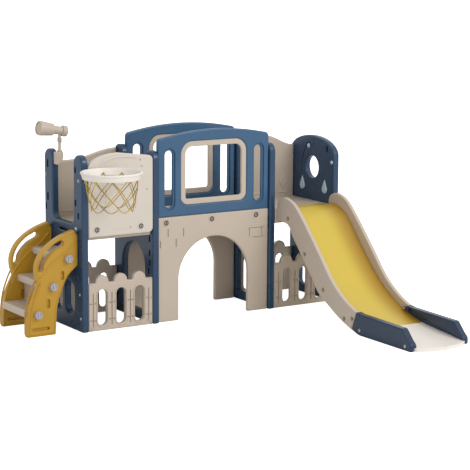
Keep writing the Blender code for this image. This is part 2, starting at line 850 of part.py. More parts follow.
def build_stairs(yellow, beige, grey):
    outline = stair_side_outline()
    hole = handrail_hole()
    rear_side_front = stair_rear_face - STAIR_SIDE_THICKNESS
    front_side = panel("stair_front_side", outline, [hole], stair_front_face, STAIR_SIDE_THICKNESS, yellow)
    rear_side = panel("stair_rear_side", outline, [hole], rear_side_front, STAIR_SIDE_THICKNESS, yellow)
    step_face = stair_front_face + STAIR_SIDE_THICKNESS + JOINT_GAP
    step_length = STAIR_INNER_WIDTH - 2 * JOINT_GAP
    for index in range(STAIR_STEP_COUNT):
        front = step_front(index)
        top = step_top(index)
        low = top - STEP_THICKNESS
        if index < STAIR_STEP_COUNT - 1:
            back = step_front(index + 1) + STEP_OVERLAP
            riser_top = step_top(index + 1) - STEP_THICKNESS - JOINT_GAP
            corners = [
                (front, low, STEP_CORNER),
                (back, low, 0.0),
                (back, riser_top, 0.0),
                (back - RISER_THICKNESS, riser_top, 0.0),
                (back - RISER_THICKNESS, top, STEP_CORNER),
                (front, top, STEP_CORNER),
            ]
        else:
            back = -JOINT_GAP
            corners = [
                (front, low, STEP_CORNER),
                (back, low, 0.0),
                (back, top, 0.0),
                (front, top, STEP_CORNER),
            ]
        number = index + 1
        tread = panel(f"stair_step_{number}", rounded(corners), [], step_face, step_length, beige, 0.0)

        cap_x = front + CAP_SETBACK
        cap_z = top - CAP_DROP
        bore = rod(
            f"stair_bore_{number}",
            (cap_x, stair_front_face - CAP_STANDOUT, cap_z),
            (cap_x, stair_rear_face + CAP_STANDOUT, cap_z),
            CAP_SHANK_RADIUS + BORE_CLEARANCE,
            None,
            16,
            cutters,
        )
        hide_cutter(bore)
        for piece in (front_side, rear_side, tread):
            cut(piece, bore)
        shank = STAIR_SIDE_THICKNESS + CAP_SHANK_DEPTH
        profile = [
            (0.0, CAP_STANDOUT),
            (CAP_RADIUS - CAP_EDGE, CAP_STANDOUT),
            (CAP_RADIUS, CAP_STANDOUT - CAP_EDGE),
            (CAP_RADIUS, JOINT_GAP),
            (CAP_SHANK_RADIUS, JOINT_GAP),
            (CAP_SHANK_RADIUS, -shank),
            (0.0, -shank),
        ]
        front_cap = turned(f"stair_cap_front_{number}", profile, grey, 20)
        front_cap.rotation_euler = (math.pi / 2, 0.0, 0.0)
        front_cap.location = (cap_x, stair_front_face, cap_z)
        rear_cap = turned(f"stair_cap_rear_{number}", profile, grey, 20)
        rear_cap.rotation_euler = (-math.pi / 2, 0.0, 0.0)
        rear_cap.location = (cap_x, stair_rear_face, cap_z)


# Slide
def profile_height(points, distance):
    """Height of a profile of (distance, height) points at a distance from the deck front."""
    for (near, near_height), (far, far_height) in zip(points, points[1:]):
        if distance <= far:
            return near_height + (far_height - near_height) * (distance - near) / (far - near)
    return points[-1][1]


def scaled(knots):
    """Profile knots given as shares of the slide's reach and of the deck height, in metres."""
    return smooth_run([(reach * SLIDE_REACH, height * DECK_TOP) for reach, height in knots], 3)


def slide_floor_profile():
    """Middle line of the chute and the run-out, from the deck outwards, as (distance, height)."""
    lip = 1 + CHUTE_LIP_RISE / DECK_TOP
    foot = CHUTE_THICKNESS / DECK_TOP
    return scaled(
        [
            (0.0, lip),
            (0.056, 0.998 * lip),
            (0.112, 0.96),
            (0.162, 0.875),
            (0.263, 0.63),
            (0.394, 0.353),
            (0.509, 0.2),
            (0.6, 0.127),
            (0.688, 0.087),
            (0.84, 0.055),
            (1.0, foot),
        ]
    )


def wall_crest_profile():
    return scaled(
        [
            (0.0, 1.05),
            (0.014, 1.106),
            (0.058, 1.137),
            (0.121, 1.097),
            (0.171, 1.011),
            (0.25, 0.835),
            (0.329, 0.648),
            (0.417, 0.438),
            (0.502, 0.302),
            (0.586, 0.218),
            (0.64, 0.196),
        ]
    )


def wall_base_profile():
    return scaled(
        [
            (0.0, 0.892),
            (0.083, 0.873),
            (0.124, 0.763),
            (0.199, 0.586),
            (0.272, 0.41),
            (0.321, 0.287),
            (0.399, 0.189),
            (0.474, 0.106),
            (0.558, 0.038),
            (0.64, 0.006),
        ]
    )


def profile_to(profile, end):
    """The part of a profile up to a distance, ending exactly there."""
    kept = [point for point in profile if point[0] < end - 0.004]
    return [*kept, (end, profile_height(profile, end))]


def flank_rise(share, distance):
    """Height that the chute gains towards its sides; it fades in at the top and out at the run-out."""
    start = min(1.0, distance / FLANK_FADE_IN)
    fade = max(0.0, 1.0 - (distance / CHUTE_END) ** 2)
    return CHUTE_FLANK_RISE * start * fade * abs(share) ** 5


def slide_sheet(name, lines, material):
    """A curved sheet through rows of points, with its underside straight below it."""
    mesh = bpy.data.meshes.new(name)
    shape = bmesh.new()
    rows = [[shape.verts.new(point) for point in line] for line in lines]
    for row, following in zip(rows, rows[1:]):
        for index in range(len(row) - 1):
            shape.faces.new((row[index], following[index], following[index + 1], row[index + 1]))
    under = bmesh.ops.extrude_face_region(shape, geom=shape.faces[:])["geom"]
    low_points = [item for item in under if isinstance(item, bmesh.types.BMVert)]
    bmesh.ops.translate(shape, verts=low_points, vec=(0.0, 0.0, -CHUTE_THICKNESS))
    bmesh.ops.recalc_face_normals(shape, faces=shape.faces)
    shape.to_mesh(mesh)
    shape.free()
    mesh.shade_smooth()
    mesh.set_sharp_from_angle(angle=math.radians(30))
    return put(name, mesh, material)


def build_chute_and_run_out(yellow, white):
    floor = slide_floor_profile()
    half = SLIDE_WIDTH / 2 - SLIDE_WALL_THICKNESS - JOINT_GAP
    shares = [-1.0, -0.93, -0.82, -0.6, 0.0, 0.6, 0.82, 0.93, 1.0]

    lines = [[(slide_centre + half * share, CHUTE_LIP_OVERLAP, floor[0][1]) for share in shares]]
    for distance, height in profile_to(floor, CHUTE_END - JOINT_GAP):
        line = []
        for share in shares:
            line.append((slide_centre + half * share, -distance, height + flank_rise(share, distance)))
        lines.append(line)
    chute = slide_sheet("slide_chute", lines, yellow)
    deck_room = box(
        "deck_room",
        (right_bay[0], -JOINT_GAP, deck_bottom),
        (right_bay[1], 2 * CHUTE_LIP_OVERLAP, DECK_TOP + JOINT_GAP),
        None,
        0.0,
        cutters,
    )
    cut(chute, hide_cutter(deck_room))

    lines = []
    for step in range(RUN_OUT_STEPS + 1):
        line = []
        for share in shares:
            reach = SLIDE_SIDE_REACH + (SLIDE_REACH - SLIDE_SIDE_REACH) * (1 - share * share)
            distance = CHUTE_END + (reach - CHUTE_END) * step / RUN_OUT_STEPS
            line.append((slide_centre + half * share, -distance, profile_height(floor, distance)))
        lines.append(line)
    slide_sheet("slide_run_out", lines, white)


def low_side(outer, way, first, second):
    """The lower X of a layer between two distances inwards from a slide side's outer face."""
    return min(outer + way * first, outer + way * second)


def side_cutter(name, outline, left, thickness):
    item = outline_solid(name, outline, [], thickness, None, cutters)
    item.rotation_euler = (math.pi / 2, 0.0, math.pi / 2)
    item.location.x = left + thickness / 2
    return hide_cutter(item)


def wall_outline():
    """Side wall from the deck to the slanted joint with its bumper."""
    crest = profile_to(wall_crest_profile(), WALL_END)
    base = profile_to(wall_base_profile(), WALL_FOOT_END)
    outline = [(-distance, height) for distance, height in [*crest, *reversed(base)]]
    outline[0] = (-JOINT_GAP, outline[0][1])
    outline[-1] = (-JOINT_GAP, outline[-1][1])
    return outline


def bumper_outline():
    """Bumper that continues the wall to the end of the slide, with a sloping nose."""
    toe = SLIDE_SIDE_REACH
    start_top = profile_height(wall_crest_profile(), WALL_END)
    start_low = profile_height(wall_base_profile(), WALL_FOOT_END)
    return rounded(
        [
            (-WALL_FOOT_END - JOINT_GAP, start_low, 0.0),
            (-WALL_END - JOINT_GAP, start_top, 0.0),
            (-WALL_END - TAB_LENGTH, BUMPER_TOP, BUMPER_NOSE / 2),
            (-toe + BUMPER_NOSE, BUMPER_TOP - BUMPER_FALL, BUMPER_NOSE / 3),
            (-toe + BUMPER_NOSE / 3, BUMPER_TOP / 2, BUMPER_NOSE / 4),
            (-toe, BUMPER_TOP / 3, BUMPER_NOSE / 4),
            (-toe, 0.0, BUMPER_NOSE / 8),
            (-WALL_END - TAB_LENGTH, 0.0, 0.0),
        ]
    )


def build_slide_sides(beige, blue):
    """Side walls from the deck to the bumpers, and the bumpers that clip over the run-out's edges."""
    floor = slide_floor_profile()
    wall = wall_outline()
    bumper = bumper_outline()
    tab_start = WALL_END - TAB_LENGTH
    tab_end = WALL_END + TAB_LENGTH / 2
    tab_low = profile_height(floor, tab_start) + flank_rise(1.0, tab_start) + SHEET_CLEARANCE
    tab_high = BUMPER_TOP - EDGE_CHAMFER
    tab_radius = (tab_high - tab_low) / 2 - JOINT_GAP
    tab = rounded(
        [
            (-tab_end, tab_low, 0.0),
            (-tab_end, tab_high, 0.0),
            (-tab_start, tab_high, tab_radius),
            (-tab_start, tab_low, tab_radius),
        ]
    )
    room_start = WALL_FOOT_END - TAB_LENGTH
    over_floor = [
        (-distance, height + flank_rise(1.0, distance) + SHEET_CLEARANCE)
        for distance, height in floor
        if distance > room_start
    ]
    beyond = -2 * SLIDE_REACH
    room = [*over_floor, (beyond, over_floor[-1][1]), (beyond, -DECK_TOP), (over_floor[0][0], -DECK_TOP)]

    inner = SLIDE_WALL_THICKNESS + JOINT_GAP
    half = SLIDE_WIDTH / 2
    for side, outer, way in (("left", slide_centre - half, 1), ("right", slide_centre + half, -1)):
        left = low_side(outer, way, 0.0, SLIDE_WALL_THICKNESS)
        frame(f"slide_{side}_wall", wall, [], left, SLIDE_WALL_THICKNESS, beige)
        left = low_side(outer, way, 0.0, BUMPER_THICKNESS)
        solid = frame(f"slide_{side}_bumper", bumper, [], left, BUMPER_THICKNESS, blue)
        left = low_side(outer, way, SLIDE_WALL_THICKNESS, SLIDE_WALL_THICKNESS + BUMPER_THICKNESS)
        cut(solid, side_cutter(f"run_out_room_{side}", room, left, BUMPER_THICKNESS))
        left = low_side(outer, way, inner, BUMPER_THICKNESS)
        boolean(solid, side_cutter(f"tab_{side}", tab, left, BUMPER_THICKNESS - inner), "UNION")


# Basketball hoop
def build_hoop(white, beige, yellow):
    ring_x = left_bay[0] + HOOP_OFFSET
    ring_y = BACKBOARD_INSET - RING_CLEARANCE - RING_RADIUS
    top = RING_HEIGHT / 2
    low_radius = RING_RADIUS - RING_TAPER
    profile = [
        (RING_RADIUS - RING_THICKNESS, top),
        (RING_RADIUS, top),
        (low_radius, -top),
        (low_radius - RING_THICKNESS, -top),
    ]
    ring = turned("hoop_ring", profile, white, 40)
    ring.location = (ring_x, ring_y, hoop_height)

    board_face = BACKBOARD_INSET - JOINT_GAP
    bracket_top = hoop_height - top - JOINT_GAP
    bracket = [
        (board_face, bracket_top),
        (board_face - BRACKET_DEPTH, bracket_top),
        (board_face - BRACKET_DEPTH, bracket_top - BRACKET_HEIGHT / 5),
        (board_face, bracket_top - BRACKET_HEIGHT),
    ]
    frame("hoop_bracket", bracket, [], ring_x - BRACKET_WIDTH / 2, BRACKET_WIDTH, beige, 0.0)
    build_net(yellow, (ring_x, ring_y, hoop_height - top), low_radius - RING_THICKNESS)


def build_net(yellow, place, ring_bore):
    """A tapered tube of diamond meshes with hanging points at its lower rim."""
    top_radius = ring_bore + NET_CORD * RING_TAPER / RING_HEIGHT - NET_SEAT
    mesh = bpy.data.meshes.new("hoop_net")
    shape = bmesh.new()
    rows = []
    for row in range(NET_ROWS + 1):
        share = row / NET_ROWS
        radius = top_radius + (NET_BOTTOM_RADIUS - top_radius) * share**NET_BULGE
        height = NET_CORD - (NET_LENGTH + NET_CORD) * share
        turn = 0.5 * (row % 2)
        angles = [2 * math.pi * (column + turn) / NET_COLUMNS for column in range(NET_COLUMNS)]
        rows.append([shape.verts.new((radius * math.cos(a), radius * math.sin(a), height)) for a in angles])
    for column in range(NET_COLUMNS):
        after = (column + 1) % NET_COLUMNS
        shape.faces.new((rows[0][column], rows[1][column], rows[0][after]))
        for row in range(NET_ROWS - 1):
            shift = column if row % 2 == 0 else after
            left = rows[row + 1][(shift - 1) % NET_COLUMNS] if row % 2 == 0 else rows[row + 1][column]
            right = rows[row + 1][shift]
            shape.faces.new((rows[row][column], left, rows[row + 2][column], right))
    bmesh.ops.recalc_face_normals(shape, faces=shape.faces)
    shape.to_mesh(mesh)
    shape.free()
    net = put("hoop_net", mesh, yellow)
    net.location = place
    cord = net.modifiers.new("cords", "WIREFRAME")
    cord.thickness = NET_CORD
    cord.use_even_offset = False
    cord.use_boundary = True
    cord.use_replace = True


# Telescope
def build_telescope(beige, grey):
    clamp_face = DEPTH - POST_WIDTH - JOINT_GAP
    stem_y = clamp_face - CLAMP_DEPTH / 2
    clamp_top = POST_HEIGHT - CLAMP_DROP
    clamp_low = clamp_top - CLAMP_HEIGHT
    clamp_left = STEM_X - CLAMP_LEFT_OF_STEM
    clamp_right = clamp_left + CLAMP_LENGTH
    outline = rounded(
        [
            (clamp_left, clamp_low, CLAMP_CORNER),
            ((clamp_left + clamp_right) / 2, clamp_low, CLAMP_CORNER),
            (clamp_right, (clamp_low + clamp_top) / 2, CLAMP_CORNER),
            (clamp_right, clamp_top, CLAMP_CORNER),
            (clamp_left, clamp_top, CLAMP_CORNER),
        ]
    )
    base = panel("telescope_base", outline, [], clamp_face - CLAMP_DEPTH, CLAMP_DEPTH, beige, 0.0)
    seat = rod(
        "stem_seat",
        (STEM_X, stem_y, clamp_top - STEM_SEAT - JOINT_GAP),
        (STEM_X, stem_y, clamp_top + STEM_SEAT),
        STEM_RADIUS + BORE_CLEARANCE,
        None,
        24,
        cutters,
    )
    cut(base, hide_cutter(seat))

    pan_axis = bpy.data.objects.new("telescope_pan_axis", None)
    parts.objects.link(pan_axis)
    pan_axis.location = (STEM_X, stem_y, clamp_top)
    yoke_low = PIN_RISE - LUG_RADIUS - FORK_EAR_THICKNESS - PIN_RADIUS
    stem_profile = [
        (0.0, yoke_low + FORK_EAR_THICKNESS / 2),
        (STEM_NECK_RADIUS, yoke_low + FORK_EAR_THICKNESS / 2),
        (STEM_NECK_RADIUS, COLLAR_HEIGHT),
        (COLLAR_RADIUS, COLLAR_HEIGHT),
        (COLLAR_RADIUS, JOINT_GAP),
        (STEM_RADIUS, JOINT_GAP),
        (STEM_RADIUS, -STEM_SEAT),
        (0.0, -STEM_SEAT),
    ]
    fork = turned("telescope_fork", stem_profile, beige, 24)
    fork.parent = pan_axis
    slot_half = LUG_THICKNESS / 2 + BORE_CLEARANCE
    outer_half = slot_half + FORK_EAR_THICKNESS
    floor = yoke_low + FORK_EAR_THICKNESS
    ear_top = PIN_RISE + FORK_WIDTH / 2
    yoke_outline = [
        (-outer_half, yoke_low),
        (outer_half, yoke_low),
        (outer_half, ear_top),
        (slot_half, ear_top),
        (slot_half, floor),
        (-slot_half, floor),
        (-slot_half, ear_top),
        (-outer_half, ear_top),
    ]
    yoke = outline_solid("yoke", yoke_outline, [], FORK_WIDTH, None, cutters)
    yoke.rotation_euler = (math.pi / 2, 0.0, math.pi / 2)
    yoke.parent = pan_axis
    boolean(fork, hide_cutter(yoke), "UNION")

    tilt_axis = bpy.data.objects.new("telescope_tilt_axis", None)
    parts.objects.link(tilt_axis)
    tilt_axis.parent = pan_axis
    tilt_axis.location = (0.0, 0.0, PIN_RISE)
    tilt_axis.rotation_euler = (0.0, math.radians(BARREL_REST_TILT), 0.0)

    pin_hole = rod(
        "pin_hole",
        (0.0, -2 * outer_half, 0.0),
        (0.0, 2 * outer_half, 0.0),
        PIN_RADIUS + BORE_CLEARANCE,
        None,
        16,
        cutters,
    )
    pin_hole.parent = tilt_axis
    hide_cutter(pin_hole)
    cut(fork, pin_hole)
    head_face = outer_half + PIN_HEAD_THICKNESS
    pin_profile = [
        (0.0, head_face),
        (PIN_HEAD_RADIUS, head_face),
        (PIN_HEAD_RADIUS, outer_half + JOINT_GAP),
        (PIN_RADIUS, outer_half + JOINT_GAP),
        (PIN_RADIUS, -outer_half - JOINT_GAP),
        (PIN_HEAD_RADIUS, -outer_half - JOINT_GAP),
        (PIN_HEAD_RADIUS, -head_face),
        (0.0, -head_face),
    ]
    pin = turned("telescope_pin", pin_profile, grey, 16)
    pin.rotation_euler = (math.pi / 2, 0.0, 0.0)
    pin.location = (0.0, 0.0, PIN_RISE)
    pin.parent = pan_axis

    spigot_end = BARREL_BACK + SPIGOT_LENGTH
    barrel_profile = [
        (0.0, BARREL_FRONT - LENS_RECESS),
        (LENS_RADIUS, BARREL_FRONT - LENS_RECESS),
        (LENS_RADIUS, BARREL_FRONT),
        (BARREL_FRONT_RADIUS - LENS_RECESS, BARREL_FRONT),
        (BARREL_FRONT_RADIUS, BARREL_FRONT - BARREL_RIM_TAPER),
        (BARREL_STEP_RADIUS, BARREL_STEP),
        (BARREL_WAIST_RADIUS, BARREL_STEP),
        (BARREL_NECK_RADIUS, -BARREL_BACK),
        (SPIGOT_RADIUS, -BARREL_BACK),
        (SPIGOT_RADIUS, -spigot_end),
        (0.0, -spigot_end),
    ]
    barrel = turned("telescope_barrel", barrel_profile, beige)
    barrel.rotation_euler = (0.0, -math.pi / 2, 0.0)
    barrel.location = (0.0, 0.0, BARREL_RISE)
    barrel.parent = tilt_axis
    lug_top = BARREL_RISE - BARREL_NECK_RADIUS / 2
    lug_back = BARREL_BACK - 2 * JOINT_GAP
    lug_outline = rounded(
        [
            (-LUG_RADIUS, -LUG_RADIUS, LUG_RADIUS),
            (LUG_RADIUS, -LUG_RADIUS, LUG_RADIUS),
            (LUG_RADIUS, 0.0, 0.0),
            (lug_back, BARREL_RISE - EYEPIECE_RADIUS - JOINT_GAP, 0.0),
            (lug_back, lug_top, 0.0),
            (-LUG_RADIUS, lug_top, 0.0),
        ]
    )
    lug = outline_solid("lug", lug_outline, [], LUG_THICKNESS, None, cutters)
    lug.rotation_euler = (math.pi / 2, 0.0, 0.0)
    lug.parent = tilt_axis
    boolean(barrel, hide_cutter(lug), "UNION")
    cut(barrel, pin_hole)

    bore_end = -SPIGOT_LENGTH - JOINT_GAP
    cup_floor = bore_end - SPIGOT_RADIUS / 2
    eyepiece_profile = [
        (0.0, bore_end),
        (SPIGOT_RADIUS + BORE_CLEARANCE, bore_end),
        (SPIGOT_RADIUS + BORE_CLEARANCE, -JOINT_GAP),
        (EYEPIECE_RADIUS - EYEPIECE_EDGE, -JOINT_GAP),
        (EYEPIECE_RADIUS, -EYEPIECE_EDGE),
        (EYEPIECE_RADIUS, -EYEPIECE_LENGTH),
        (EYEPIECE_CUP_RADIUS, -EYEPIECE_LENGTH),
        (EYEPIECE_CUP_RADIUS, cup_floor),
        (0.0, cup_floor),
    ]
    eyepiece = turned("telescope_eyepiece", eyepiece_profile, beige, 24)
    eyepiece.rotation_euler = (0.0, -math.pi / 2, 0.0)
    eyepiece.location = (BARREL_BACK, 0.0, BARREL_RISE)
    eyepiece.parent = tilt_axis


def main():
    clear_scene()
    for group in (parts, cutters):
        bpy.context.scene.collection.children.link(group)
    blue = plastic("blue_plastic", BLUE, 0.45)
    beige = plastic("beige_plastic", BEIGE, 0.5)
    yellow = plastic("yellow_plastic", YELLOW, 0.45)
    chute_yellow = plastic("chute_yellow_plastic", CHUTE_YELLOW, 0.4)
    white = plastic("white_plastic", WHITE, 0.4)
    grey = plastic("cap_grey_plastic", CAP_GREY, 0.5)
    cord = plastic("net_cord", NET_YELLOW, 0.8)
    steel = plastic("bolt_steel", METAL_GREY, 0.35, 0.9)

    build_frames(blue)
    backboard = build_backboard(beige)
    build_left_rear_guard(beige)
    build_right_rear_guard(beige)
    rear_fence = DEPTH - FENCE_INSET - PANEL_THICKNESS
    build_fence("left_front_fence", left_bay, FENCE_INSET, beige)
    build_fence("left_rear_fence", left_bay, rear_fence, beige)
    build_fence("right_front_fence", right_bay, FENCE_INSET, beige)
    build_fence("right_rear_fence", right_bay, rear_fence, beige)
    front_arch = build_bridge_side("front", BRIDGE_INSET, blue, beige)
    build_bridge_side("rear", DEPTH - BRIDGE_REAR_INSET - PANEL_THICKNESS, blue, beige)
    decks = build_decks(beige)

    board_middle = (left_bay[0] + left_bay[1]) / 2 + BACKBOARD_SCREW_OFFSET
    board_places = [board_middle + side * BACKBOARD_SCREW_SPACING / 2 for side in (-1, 1)]
    build_screw_caps("backboard", board_places, BACKBOARD_INSET, [backboard, decks["left_deck"]], grey)
    arch_middle = (bridge_bay[0] + bridge_bay[1]) / 2 + ARCH_SCREW_OFFSET
    arch_places = [arch_middle + step * ARCH_SCREW_SPACING for step in (-1, 0, 1)]
    build_screw_caps("arch", arch_places, BRIDGE_INSET, [front_arch, decks["bridge_deck"]], grey)

    build_stairs(yellow, beige, grey)
    build_chute_and_run_out(chute_yellow, white)
    build_slide_sides(beige, blue)
    build_hoop(white, beige, cord)
    build_telescope(beige, steel)


main()
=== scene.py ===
"""Kids slide play set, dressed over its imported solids.

It has rounded mouldings, recesses, fasteners, a net and procedural finishes.

Metres, +Z up. X runs along the length and -Y is the front, where the slide comes down.
"""

import json
import math

import bmesh
import bpy
from bpy.props import FloatProperty, FloatVectorProperty, IntProperty, PointerProperty
from bpy.types import Operator, Panel, PropertyGroup
from mathutils import Matrix, Vector


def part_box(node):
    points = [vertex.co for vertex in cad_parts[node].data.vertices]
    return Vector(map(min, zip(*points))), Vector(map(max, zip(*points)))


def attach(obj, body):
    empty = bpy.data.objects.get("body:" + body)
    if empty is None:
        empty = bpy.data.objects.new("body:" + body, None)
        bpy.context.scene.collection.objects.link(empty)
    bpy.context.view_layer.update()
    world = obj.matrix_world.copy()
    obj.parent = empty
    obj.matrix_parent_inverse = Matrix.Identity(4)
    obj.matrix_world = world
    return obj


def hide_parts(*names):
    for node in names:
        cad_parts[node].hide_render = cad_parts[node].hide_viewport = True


bl_info = {
    "name": "Kids slide play set",
    "version": (1, 0, 0),
    "blender": (4, 5, 0),
    "location": "3D View > Sidebar > Play set",
    "description": "Builds the visual model of a kids slide play set over its solids",
    "category": "Object",
}

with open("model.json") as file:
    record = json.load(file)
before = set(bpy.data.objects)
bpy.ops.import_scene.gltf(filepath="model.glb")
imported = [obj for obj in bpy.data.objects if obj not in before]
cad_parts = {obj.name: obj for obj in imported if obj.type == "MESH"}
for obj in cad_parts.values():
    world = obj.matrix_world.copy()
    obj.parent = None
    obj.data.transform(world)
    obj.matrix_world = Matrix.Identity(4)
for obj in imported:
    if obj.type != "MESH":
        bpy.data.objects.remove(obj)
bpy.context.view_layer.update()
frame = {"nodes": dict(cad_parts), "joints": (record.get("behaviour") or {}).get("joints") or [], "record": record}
record = frame["record"]
body_of = {node: body for body, nodes in record["behaviour"]["bodies"].items() for node in nodes}
slot_of = {part["node"]: part["material_slot"] for part in record["subparts"]}

# Outlines and shells: lengths in metres, turns in degrees, shares of the whole
MERGE = 1e-5
LEVEL_TOLERANCE = 2e-4
WALL_TILT = 0.05
SMALLEST_OUTLINE = 0.025
DEEPEST_CHAMFER = 0.006
SHARP_ANGLE = 40.0
SMALLEST_REST = 0.6
SOFT_TURN = 33.0
STRAIGHT_TURN = 0.4
SHORTEST_CHORD = 0.002
SUNK = 0.004
OVERCUT = 0.01
# Finishes: shares of the tone and roughness, heights and widths in metres
MOTTLE_SHARE = 0.15
MIDDLE_TONE = 0.575
ROUGHNESS_DRIFT = 0.16
GRAIN_HEIGHT = 0.00003
WALL_WAVE = 0.0016
# Painted shade on the chute: width and tone of the darkening towards its right wall
WALL_SHADE_WIDTH = 0.17
WALL_SHADE_TONE = (0.62, 0.46, 0.26, 1.0)

UP = Vector((0.0, 0.0, 1.0))
LEFT = Vector((-1.0, 0.0, 0.0))
RIGHT = Vector((1.0, 0.0, 0.0))
FRONT = Vector((0.0, -1.0, 0.0))
REAR = Vector((0.0, 1.0, 0.0))

# Finish of each slot or look: its colour setting, change of roughness, tone drift, waviness
FINISHES = {
    "blue_plastic": ("blue", -0.04, 0.22, WALL_WAVE),
    # Blue plastic darkened for the frames: painted shade for faces that stand in shade
    "frame_blue": ("shaded_frame_blue", -0.06, 0.3, WALL_WAVE),
    # Blue plastic darkened further for the bumpers: painted shade for their shaded outer faces
    "bumper_blue": ("shaded_bumper_blue", -0.08, 0.3, WALL_WAVE),
    "beige_plastic": ("beige", 0.05, 0.1, WALL_WAVE),
    "pale_beige": ("cream", 0.05, 0.08, WALL_WAVE),
    "yellow_plastic": ("yellow", 0.0, 0.2, WALL_WAVE),
    "chute_yellow_plastic": ("chute", 0.0, 0.12, 0.003),
    "white_plastic": ("white", -0.02, 0.06, WALL_WAVE),
    "cap_grey_plastic": ("grey", 0.0, 0.1, 0.0),
    # Knobs and drops: a pale colour that is painted highlight, in place of the shine they catch
    "pale_drop": ("drops", -0.15, 0.2, 0.0),
    "sunk_screw": ("screw", 0.0, 0.2, 0.0),
    # Groove floor: a dark colour as painted shade in the screw cap grooves
    "groove_floor": ("recess", 0.2, 0.1, 0.0),
}

# Frames: pockets for the bolts, rise of the drops and knobs, and width and height of recesses
POCKET_DEPTH = 0.007
POCKET_SIZE = (0.03, 0.032)
RAISED = 0.008
DROP_EDGE = 0.0079
RECESS_SIZES = {"hook": (0.023, 0.052), "notch": (0.02, 0.042)}
# Recesses in the left faces of the frames: kind, y, z
FRAME_RECESSES = {
    "left_end_frame": [
        ("hook", 0.445, 0.96), ("hook", 0.445, 0.76), ("notch", 0.084, 0.96),
        ("notch", 0.082, 0.766), ("notch", 0.048, 0.693), ("notch", 0.47, 0.698),
    ],
    "left_partition_frame": [
        ("hook", 0.445, 0.96), ("notch", 0.06, 0.96), ("notch", 0.045, 0.78),
        ("notch", 0.045, 0.517), ("notch", 0.045, 0.431), ("notch", 0.045, 0.37),
        ("notch", 0.058, 0.318),
    ],
    "right_partition_frame": [
        ("notch", 0.019, 0.575), ("notch", 0.019, 0.535), ("hook", 0.445, 0.96)
    ],
    "right_end_frame": [("drop", 0.345, 0.715), ("drop", 0.096, 0.715), ("notch", 0.076, 0.977)],
}
# Bolt heads on the left faces of the frames: y, z, radius, height
FRAME_BOLTS = {
    "left_end_frame": [
        (0.471, 0.893, 0.011, 0.005), (0.041, 0.9, 0.011, 0.005), (0.035, 0.225, 0.009, 0.004),
        (0.024, 0.082, 0.009, 0.004),
    ],
    "left_partition_frame": [
        (0.028, 0.22, 0.009, 0.004), (0.028, 0.091, 0.009, 0.004), (0.045, 0.9, 0.011, 0.005)
    ],
    "right_partition_frame": [(0.03, 0.229, 0.009, 0.004), (0.03, 0.099, 0.009, 0.004)],
}
# Pale knobs on the left faces of the frames: y, z, radius
FRAME_KNOBS = {
    "left_end_frame": [(0.078, 0.612, 0.012)],
    "right_partition_frame": [(0.04, 0.903, 0.012)],
    "right_end_frame": [(0.281, 0.979, 0.015), (0.022, 0.897, 0.012)],
}
# Bolts sunk into the right face of the right end frame: y, z
END_BOLTS = [(0.03, 0.225), (0.03, 0.09), (0.46, 0.225), (0.46, 0.09), (0.05, 0.9), (0.44, 0.9)]
# Groove in the left face of the right end frame: y, z
END_GROOVE = [
    (0.36, 0.79), (0.362, 0.83), (0.354, 0.88), (0.334, 0.93), (0.312, 0.97), (0.29, 0.998),
    (0.262, 1.0), (0.248, 0.978),
]

# Rib on the stair sides, from the foot to the deck: x, z
STAIR_RIB = [
    (-0.327, 0.012), (-0.326, 0.095), (-0.312, 0.194), (-0.29, 0.262), (-0.262, 0.324),
    (-0.223, 0.375), (-0.179, 0.421), (-0.123, 0.461), (-0.068, 0.501), (-0.023, 0.548),
]
# Rib inside the rim of the stair sides: its distance and the gap between its points
STAIR_BORDER = 0.013
STAIR_BORDER_GAP = 0.006
# Recesses in the stair sides: x, z, width, height
STAIR_SLOTS = [
    (-0.106, 0.349, 0.026, 0.054), (-0.198, 0.191, 0.026, 0.054), (-0.247, 0.045, 0.114, 0.02)
]
# Screws on the outer faces of the slide walls and bumpers: y, z
SLIDE_WALL_SCREWS = [
    (-0.121, 0.59), (-0.308, 0.397), (-0.507, 0.208), (-0.727, 0.073), (-0.807, 0.088)
]
SCREW_WELL = 0.007
WELL_SIZE = (0.028, 0.031)
BUMPER_SCREWS = [(-0.882, 0.032), (-1.314, 0.026)]
# Bumpers: depth of the outer slab, where the inner slab and the tab over the wall begin
BUMPER_WALL = 0.0262
BUMPER_LAP = 0.018
TAB_START = 0.0263
TAB_REAR, TAB_FRONT, TAB_SCREW = -0.86, -0.807, -0.82
TAB_LOW, TAB_HIGH = 0.102, 0.124

# Backboard, from its middle: crown rib and target line. Holes and foot rib: x, z
BOARD_CROWN = [
    (-0.195, 0.91), (-0.175, 0.955), (-0.13, 1.0), (-0.06, 1.027), (0.02, 1.032), (0.1, 1.022)
]
BOARD_TARGET = [(-0.1, 0.71), (0.1, 0.71), (0.1, 0.87), (-0.1, 0.87)]
BOARD_HOLES = [(0.387, 1.006), (0.397, 0.967), (0.434, 0.827), (0.322, 0.607)]
BOARD_FOOT = [(0.197, 0.607), (0.318, 0.607)]
MARK_DEPTH = 0.006

# Rear guards: a rib near the foot
GUARD_RIB_INSET = 0.05
GUARD_RIB_HEIGHT = 0.66
# Raised boss on the right rear guard: x, z, cut of the corner
TOWER_BOSS = [
    (1.713, 0.675, 0.012), (1.746, 0.735, 0.02), (1.713, 0.795, 0.012), (1.68, 0.735, 0.02)
]

SCREW_CAPS = [f"backboard_screw_{number}" for number in (1, 2)]
SCREW_CAPS += [f"arch_screw_{number}" for number in (1, 2, 3)]

